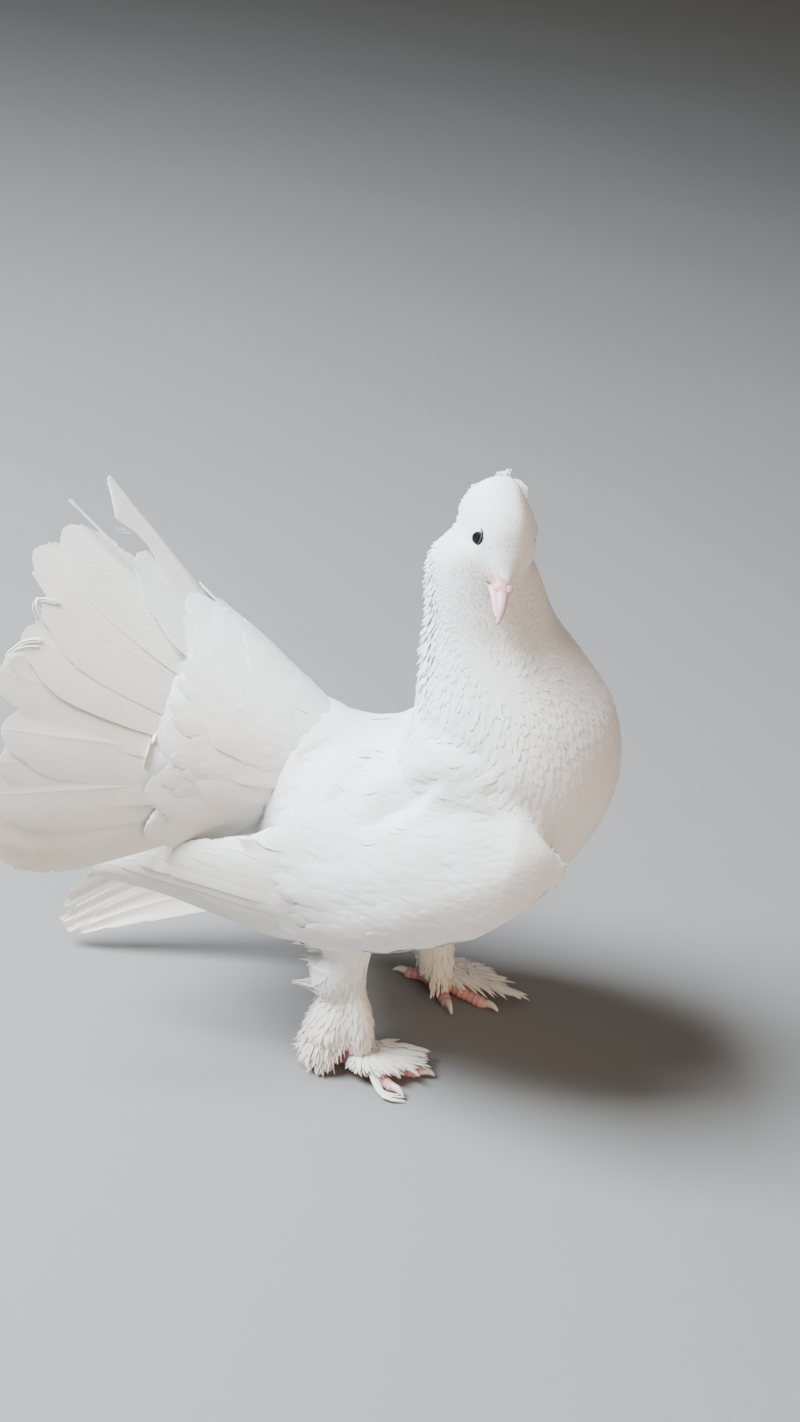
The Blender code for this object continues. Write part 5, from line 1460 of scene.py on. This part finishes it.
breast = smooth_step(-roots[:, 2], -176.0, -142.0) * (1.0 - on_wing)
tip_lift = 0.08 * width * (smooth_part - 0.6 * breast) * chance.uniform(0.6, 1.4, count) \
    + hind_neck * chance.uniform(0.2, 2.8, count) + neck_part * chance.uniform(0.0, 0.25, count) \
    + ruffled * 2.8 * chance.uniform(0, 1, count) ** 2
s = np.linspace(0.0, 1.0, 5)
lifts = -0.35 + (tip_lift + 0.35)[:, None] * (0.55 * s + 0.45 * s**2)
# the neck's scattered beige is painted shade under the head
tone = 0.08 + 0.08 * chance.normal(size=count) + 0.25 * neck_part * chance.uniform(0, 1, count) ** 2
tone = np.clip(tone, 0.0, 1.0)
OUTLINE = np.array([0.55, 0.95, 1.0, 0.86, 0.42])
facing = kept_facing(BED, roots, root_normals, way, length)
length = length * (0.6 + 0.4 * smooth_step(facing, 0.65, 0.95))  # short where they would bridge a fold
flat = (facing > 0.6) & ~heads_in
parts = {"head": near_head > 0.5, "wings": (near_head <= 0.5) & (on_wing > 0.5)}
trunk, on_neck = ~(parts["head"] | parts["wings"]), roots[:, 2] > NECK_BASE
parts["neck_right"] = trunk & on_neck & (roots[:, 1] < NECK_SPLIT)
parts["neck_left"] = trunk & on_neck & (roots[:, 1] >= NECK_SPLIT)
parts["body"] = trunk & ~on_neck
for part, chosen in parts.items():
    chosen = chosen & flat
    add_coat(f"coat_{part}", BED, roots[chosen], root_normals[chosen], way[chosen], length[chosen],
             (0.5 * width * slim)[chosen], lifts[chosen], tone[chosen], 31, OUTLINE, crown=0.10)

# %% [markdown]
# ## The crest
# A few small feathers stand up at the back of the crown and curl forwards.

# %% Crest feathers
SEEN_UP, SEEN_RIGHT = HEAD_AXES @ up, HEAD_AXES @ right
CREST = (  # root in the head's frame, share of up and of right, curl, length, half width, how many, scatter
    ((-15.8, -1.6, 12.6), 0.70, 0.55, -0.10, 5.0, 0.5, 8, (0.8, 1.3, 0.8)),
    ((-15.8, -3.0, 12.0), 0.85, 0.35, 0.20, 3.4, 0.45, 5, (0.8, 1.0, 1.0)),
    ((-10.6, 7.4, 10.4), 1.00, 0.36, -0.70, 8.8, 0.7, 5, (0.3, 0.4, 0.3)),
    ((-15.2, -9.2, 2.5), 0.50, -0.80, 0.10, 2.3, 0.6, 16, (1.0, 1.2, 4.5)))
CREST_OUTLINE = np.array([0.6, 0.85, 1.0, 1.0, 0.95, 0.85, 0.65, 0.35])
chance = np.random.default_rng(5)
s = np.linspace(0.0, 1.0, len(CREST_OUTLINE))
crest_shapes, crest_roots = [], []
for place, rise_share, right_share, curl, long, wide, count, scatter in CREST:
    root = np.array(place) + np.array(scatter) * chance.normal(size=(count, 3))
    root, away_from_skin = on_surface(SKIN, from_head(root))
    root = to_head(root - 0.4 * away_from_skin)
    out = unit(rise_share * SEEN_UP + right_share * SEEN_RIGHT + 0.16 * chance.normal(size=(count, 3)))
    size = long * chance.uniform(0.7, 1.05, count)
    line = root[:, None] + size[:, None, None] * (s[None, :, None] * out[:, None]
                                                  + curl * (s**2)[None, :, None] * SEEN_RIGHT
                                                  - 0.25 * (s**3)[None, :, None] * SEEN_UP)
    normal = square_to(line, HEAD_AXES @ towards + 0.4 * chance.normal(size=(count, 1, 3)))
    crest_shapes.append(plumes(from_head(line), normal @ HEAD_AXES, wide * chance.uniform(0.6, 1.1, count),
                               CREST_OUTLINE, seed=6))
    crest_roots.append(from_head(root))
crest_roots = np.vstack(crest_roots)
add_tufts("crest", crest_shapes, crest_roots, np.full(len(crest_roots), 0.05), len(CREST_OUTLINE))

# %% [markdown]
# ## Leg feathers
# Each leg wears a muff. Its feathers lie on the skin of the leg and point down, as water would
# run, and the lower ones are creamier and stand off more. The same cell holds the maker of
# drooping feathers, which fringes and feet use next: they leave at a heading and bend down
# without touching the floor.

# %% The muffs
HEADING = {"left": math.radians(-12.0), "right": math.radians(14.0)}
ANKLE = {side: np.array(line[-1], float) for side, line in LEGS.items()}
FLOOR_CLEAR = 0.9  # how far the lowest plumes stay above the floor
MUFF_TOP, MUFF_FOOT, MUFF_GAP = 46.0, 5.0, 1.2  # heights where the muff's roots end, and their spacing


HANGING_ROWS = 7


def hanging_plumes(root, heading, length, fall, bend, half, seed):
    """Plumes that leave at a heading and droop: z falls by fall·distance + bend·length·s²."""
    s = np.linspace(0.0, 1.0, HANGING_ROWS)
    flat = length / np.sqrt(1.0 + fall**2)
    line = root[:, None] + flat[:, None, None] * s[None, :, None] * compass(heading)[:, None]
    line[..., 2] -= (flat * fall)[:, None] * s + (bend * length)[:, None] * s**2
    line[..., 2] = np.maximum(line[..., 2], FLOOR_CLEAR + 0.8 * s)
    side = np.stack([np.sin(heading), -np.cos(heading), 0 * heading], -1)[:, None] + 0 * line
    normal = np.cross(side, unit(np.gradient(line, axis=1)))
    outline = np.interp(s, (0.0, 0.25, 0.55, 0.8, 1.0), (0.5, 0.95, 1.0, 0.75, 0.22))
    return plumes(line, unit(normal), half, outline, crown=0.25, fray=0.14, seed=seed)


roots, root_normals = scattered(SKIN, lambda p: np.full(len(p), MUFF_GAP), 61,
                                lambda p: 1.0 * ((p[:, 2] < MUFF_TOP) & (p[:, 2] > MUFF_FOOT)))
axis_gap = np.min([np.linalg.norm(roots[:, None, :2] - line[None, :, :2], axis=2).min(1)
                   for line in leg_lines.values()], axis=0)
keep = (root_normals[:, 2] > -0.45) & (axis_gap < 24.0 - 8.0 * smooth_step(roots[:, 2], 34.0, 42.0))
roots, root_normals = roots[keep], root_normals[keep]
s = np.linspace(0.0, 1.0, 6)
for side_name in ("left", "right"):
    mine = np.sign(roots[:, 1]) == SIDE[side_name]
    root, normal = roots[mine], root_normals[mine]
    down = np.broadcast_to((0.0, 0.0, -1.0), root.shape)
    chance = np.random.default_rng(61 if side_name == "left" else 62)
    count = len(root)
    low = smooth_step(-root[:, 2], -34.0, -14.0)
    length = chance.uniform(6.0, 9.0, count) * (1.0 + 0.15 * low)
    width = chance.uniform(1.3, 2.2, count)
    way = flatten(flatten(down, normal) + 0.22 * chance.normal(size=(count, 3)), normal)
    tip_lift = chance.uniform(0.2, 1.1, count) + 1.4 * low * chance.uniform(0.0, 1.0, count) ** 3
    lifts = -0.3 + (tip_lift + 0.3)[:, None] * (0.4 * s + 0.6 * s**2)
    outer = 0.5 - 0.5 * normal[:, 0]
    tone = np.clip(0.26 + 0.75 * low * outer + 0.12 * chance.normal(size=count), 0.0, 1.0)
    add_coat(f"muff_{side_name}", SKIN, root, normal, way, length, 0.5 * width, lifts, tone, 64,
             np.array([0.5, 0.9, 1.0, 0.9, 0.6, 0.15]), muff_finish, crown=0.2, fray=0.16)

# %% [markdown]
# At the hind and outer edge of a muff the feathers end in fine strands that stand off like a
# fringe. On the right leg a small spur of longer ones points straight back from the heel.

# %% Fringes and spur
FRINGE = {  # strands, heights of their roots, lengths, heading of the middle in degrees, spread, fall
    "right": (900, (5.0, 27.0), (4.0, 8.5), 140.0, 84.0, (1.2, 3.6)),
    "left": (260, (5.0, 16.0), (4.0, 7.0), 20.0, 100.0, (1.6, 3.4))}
SPUR_ROOT, SPUR_TIP = np.array([-22.0, -32.0, 30.5]), np.array([-36.5, -33.7, 30.5])
SPUR_COUNT = 40
for side_name, (count, heights, lengths, lobe, spread_by, falls) in FRINGE.items():
    chance = np.random.default_rng(65 if side_name == "left" else 66)
    middle_line, radii = MUFFS[side_name]
    middle_line = through(middle_line, 40)
    radii = through(np.array(radii)[:, None], 40)[:, 0]
    height = chance.uniform(*heights, count)
    nearest = np.abs(middle_line[None, :, 2] - height[:, None]).argmin(1)
    spread = lobe + spread_by * chance.uniform(-1.0, 1.0, count)
    heading = HEADING[side_name] + np.radians(spread) * SIDE[side_name]
    out = compass(heading)
    root = middle_line[nearest] + out * (0.8 * radii[nearest])[:, None]
    root[:, 2] = height
    heading = heading + np.radians(16.0 * chance.normal(size=count))
    length = chance.uniform(*lengths, count)
    shapes = [hanging_plumes(root, heading, length, chance.uniform(*falls, count),
                             chance.uniform(-0.34, 0.10, count), chance.uniform(0.22, 0.5, count), 63)]
    tone = np.clip(0.6 + 0.15 * chance.normal(size=count), 0.0, 1.0)
    if side_name == "right":
        base = SPUR_ROOT + chance.normal(size=(SPUR_COUNT, 3)) * (0.8, 1.6, 1.7)
        tip = SPUR_TIP + chance.normal(size=(SPUR_COUNT, 3)) * (1.2, 0.5, 0.5)
        run = np.linspace(0.0, 1.0, HANGING_ROWS)[None, :, None]
        line = base[:, None] + (tip - base)[:, None] * run * chance.uniform(0.6, 1.0, (SPUR_COUNT, 1, 1))
        line[..., 2] += 1.2 * np.sin(math.pi * run[..., 0])
        shapes.append(plumes(line, square_to(line, (0.1, -0.5, 0.85)), chance.uniform(0.4, 0.8, SPUR_COUNT),
                             np.array([0.6, 1.0, 1.0, 0.85, 0.6, 0.35, 0.1]), crown=0.2, seed=67))
        root, tone = np.vstack([root, base]), np.append(tone, np.full(SPUR_COUNT, 0.1))
    add_tufts(f"muff_fringe_{side_name}", shapes, root, tone, HANGING_ROWS, muff_finish)

# %% [markdown]
# ## Feet
# Toes are rings of horny scales over pink skin: the radius swells and pinches along the toe, and
# the upper side carries a row of broad plates. The claws are bent horns, and each stands on the
# floor beyond its toe.

# %% Toes, soles and claws
TOES = (  # name, heading in degrees, length, radius at the root and at the tip
    ("inner", -42.0, 17.0, 3.1, 2.2), ("middle", 0.0, 26.0, 3.3, 2.3),
    ("outer", 39.0, 20.0, 3.0, 2.1), ("hind", 193.0, 13.5, 3.0, 2.2))
CLAW_LENGTH, CLAW_RADIUS, SOLE_SIZE = 4.2, 1.45, (7.0, 6.4, 5.4)
TOE_GRID, CLAW_GRID, SOLE_GRID, STUB_GRID = (90, 28), (30, 18), (20, 36), (12, 28)


def toe_line(side_name, heading_deg, length, count):
    """From the sole outwards, sinking as it goes: height = 2.1 + 3.4(1-s)²."""
    turned = HEADING[side_name] + math.radians(heading_deg) * SIDE[side_name]
    start = ANKLE[side_name] * (1.0, 1.0, 0.0) + (1.0, 0.0, 5.2)
    way = np.array([math.cos(turned), math.sin(turned), 0.0])
    s = np.linspace(0.0, 1.0, count)
    line = start + length * s[:, None] * way
    line[:, 2] = 2.1 + 3.4 * (1 - s) ** 2
    return line, way


def flat_below(rings, level):
    """Points under a level brought up to it, as a soft sole pressed on the floor."""
    rings[..., 2] = np.maximum(rings[..., 2], level)
    return rings


for side_name in ("left", "right"):
    shapes, scutes, claws, claw_runs = [], [], [], []
    for _, heading_deg, length, root_r, tip_r in TOES:
        line, way = toe_line(side_name, heading_deg, length, TOE_GRID[0])
        s = np.linspace(0.0, 1.0, TOE_GRID[0])
        beat = np.abs(np.sin(s * length / 1.9 * math.pi / 2 * 1.6))
        pads = 0.10 * np.exp(-(((s * length) % 8.5 - 4.2) / 2.0) ** 2)
        end = np.sqrt(np.clip((1.0 - s) / 0.10, 0.02, 1.0))
        radii = (root_r + (tip_r - root_r) * s) * (0.93 + 0.07 * beat + pads) * end
        shapes.append(closed_body(flat_below(tube_rings(line, radii, TOE_GRID[1], 0.92), 0.0)))
        horny = 0.5 * smooth_step(beat, 0.8, 1.0) + 0.5 * s**4
        scutes.append(np.append(np.repeat(horny, TOE_GRID[1]), (0.0, 0.5)))
        s = np.linspace(0.0, 1.0, CLAW_GRID[0])
        path = line[-1] + (CLAW_LENGTH + 2.0) * s[:, None] * way - 1.6 * way
        path[:, 2] = 2.5 + 1.0 * np.sin(s * math.pi * 0.8) - 1.7 * s**2
        horn = tube_rings(path, CLAW_RADIUS * (1.0 - 0.80 * s**2.2), CLAW_GRID[1], 1.15)
        claws.append(closed_body(flat_below(horn, 0.05)))
        claw_runs.append(np.append(np.repeat(s, CLAW_GRID[1]), (0.0, 1.0)))
    under_ankle = ANKLE[side_name] * (1.0, 1.0, 0.0)
    sole = ball_rings(*SOLE_GRID)[2] * SOLE_SIZE + under_ankle + (0.5, 0.0, 6.0)
    shapes.append(closed_body(sole))
    stub = np.linspace((0.0, 0.0, 5.0), (0.0, 0.0, 16.0), STUB_GRID[0]) + under_ankle
    shapes.append(closed_body(tube_rings(stub, np.full(STUB_GRID[0], 4.9), STUB_GRID[1])))
    scutes += [np.zeros(rings * sides + 2) for rings, sides in (SOLE_GRID, STUB_GRID)]
    add_piece(f"toes_{side_name}", joined(shapes), toe_finish, (f"foot_{side_name}",),
              numbers={"scute": np.concatenate(scutes)})
    add_piece(f"claws_{side_name}", joined(claws), claw_finish,
              tuple(f"claw_{side_name}_{toe[0]}" for toe in TOES),
              numbers={"along": np.concatenate(claw_runs)})

# %% [markdown]
# Feathers hide most of the toes. They root on the foot and along the toes, more on the outer side,
# and run forwards and outwards. The right foot is almost covered, the left one is partly bare.

# %% Feathers on the feet
FOOT_COVER = {  # plumes, spread in degrees from straight ahead, lengths, half widths, furthest tips by spread
    "right": (760, (-38.0, 110.0), (7.0, 13.0), (0.5, 1.2),
              ((-38, -26, -19, -8, 0, 20, 40, 58, 84, 110), (15, 23, 31, 31, 30, 24, 17, 13, 11, 9))),
    "left": (460, (-26.0, 66.0), (7.0, 15.0), (0.6, 1.1),
             ((-26, -10, 0, 8, 15, 22, 30, 41, 55, 76), (9, 12, 18, 26, 36, 43, 34, 28, 21, 15)))}
TRAIL = (  # one long feather beside the right foot
    (1.5, -37, 8), (4.2, -41.6, 5), (8.8, -46.2, 2.8), (13.5, -48, 1.7), (20.8, -45.2, 1.0))
for side_name, (count, spreads, lengths, halves, furthest) in FOOT_COVER.items():
    chance = np.random.default_rng(71 if side_name == "left" else 72)
    spread = chance.uniform(*spreads, count)
    heading = HEADING[side_name] + np.radians(spread) * SIDE[side_name]
    limit = np.interp(spread, *furthest)
    reach = chance.uniform(-3.0, 1.0, count) + chance.uniform(0.0, 1.0, count) * (limit - 9.0)
    out = compass(heading)
    root = ANKLE[side_name] * (1.0, 1.0, 0.0) + out * reach[:, None]
    instep = np.sqrt(np.clip(1.0 - (reach / 34.0) ** 2, 0.0, 1.0))
    root[:, 2] = 3.4 + 6.4 * instep + chance.uniform(-0.8, 0.5, count)
    heading = heading + np.radians(chance.uniform(-12.0, 14.0, count)) * SIDE[side_name]
    length = np.minimum(chance.uniform(*lengths, count), np.maximum(limit - reach, 3.5))
    half = chance.uniform(*halves, count)
    shapes = [hanging_plumes(root, heading, length, chance.uniform(0.12, 0.34, count),
                             chance.uniform(0.0, 0.16, count), half, 73)]
    tone = np.clip(0.06 + 0.08 * chance.normal(size=count), 0.0, 1.0)
    if side_name == "right":
        beside = np.array([[(0, 0, 0)], [(-1.2, 1.4, 0.5)], [(-2.6, 1.8, 0.9)]])
        line = through(TRAIL, HANGING_ROWS)[None] + beside
        outline = np.array([0.7, 1.0, 1.0, 0.9, 0.7, 0.45, 0.12])
        shapes.append(plumes(line, square_to(line, (0.1, -0.4, 0.9)), np.array([1.5, 1.1, 0.9]), outline,
                             crown=0.25, seed=74))
        tone, root = np.append(tone, (0.05, 0.1, 0.1)), np.vstack([root, line[:, 0]])
    add_tufts(f"foot_feathers_{side_name}", shapes, root, tone, HANGING_ROWS, muff_finish)

# %% [markdown]
# ## Size
# The box of the dressed bird is measured, and the last line prints how many triangles there are.
# The dressed bird has to stay inside the box of its solids.

# %% Size and finish
low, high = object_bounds()
print("triangles:", sum(len(p.data.loops) - 2 * len(p.data.polygons) for p in PIECES))
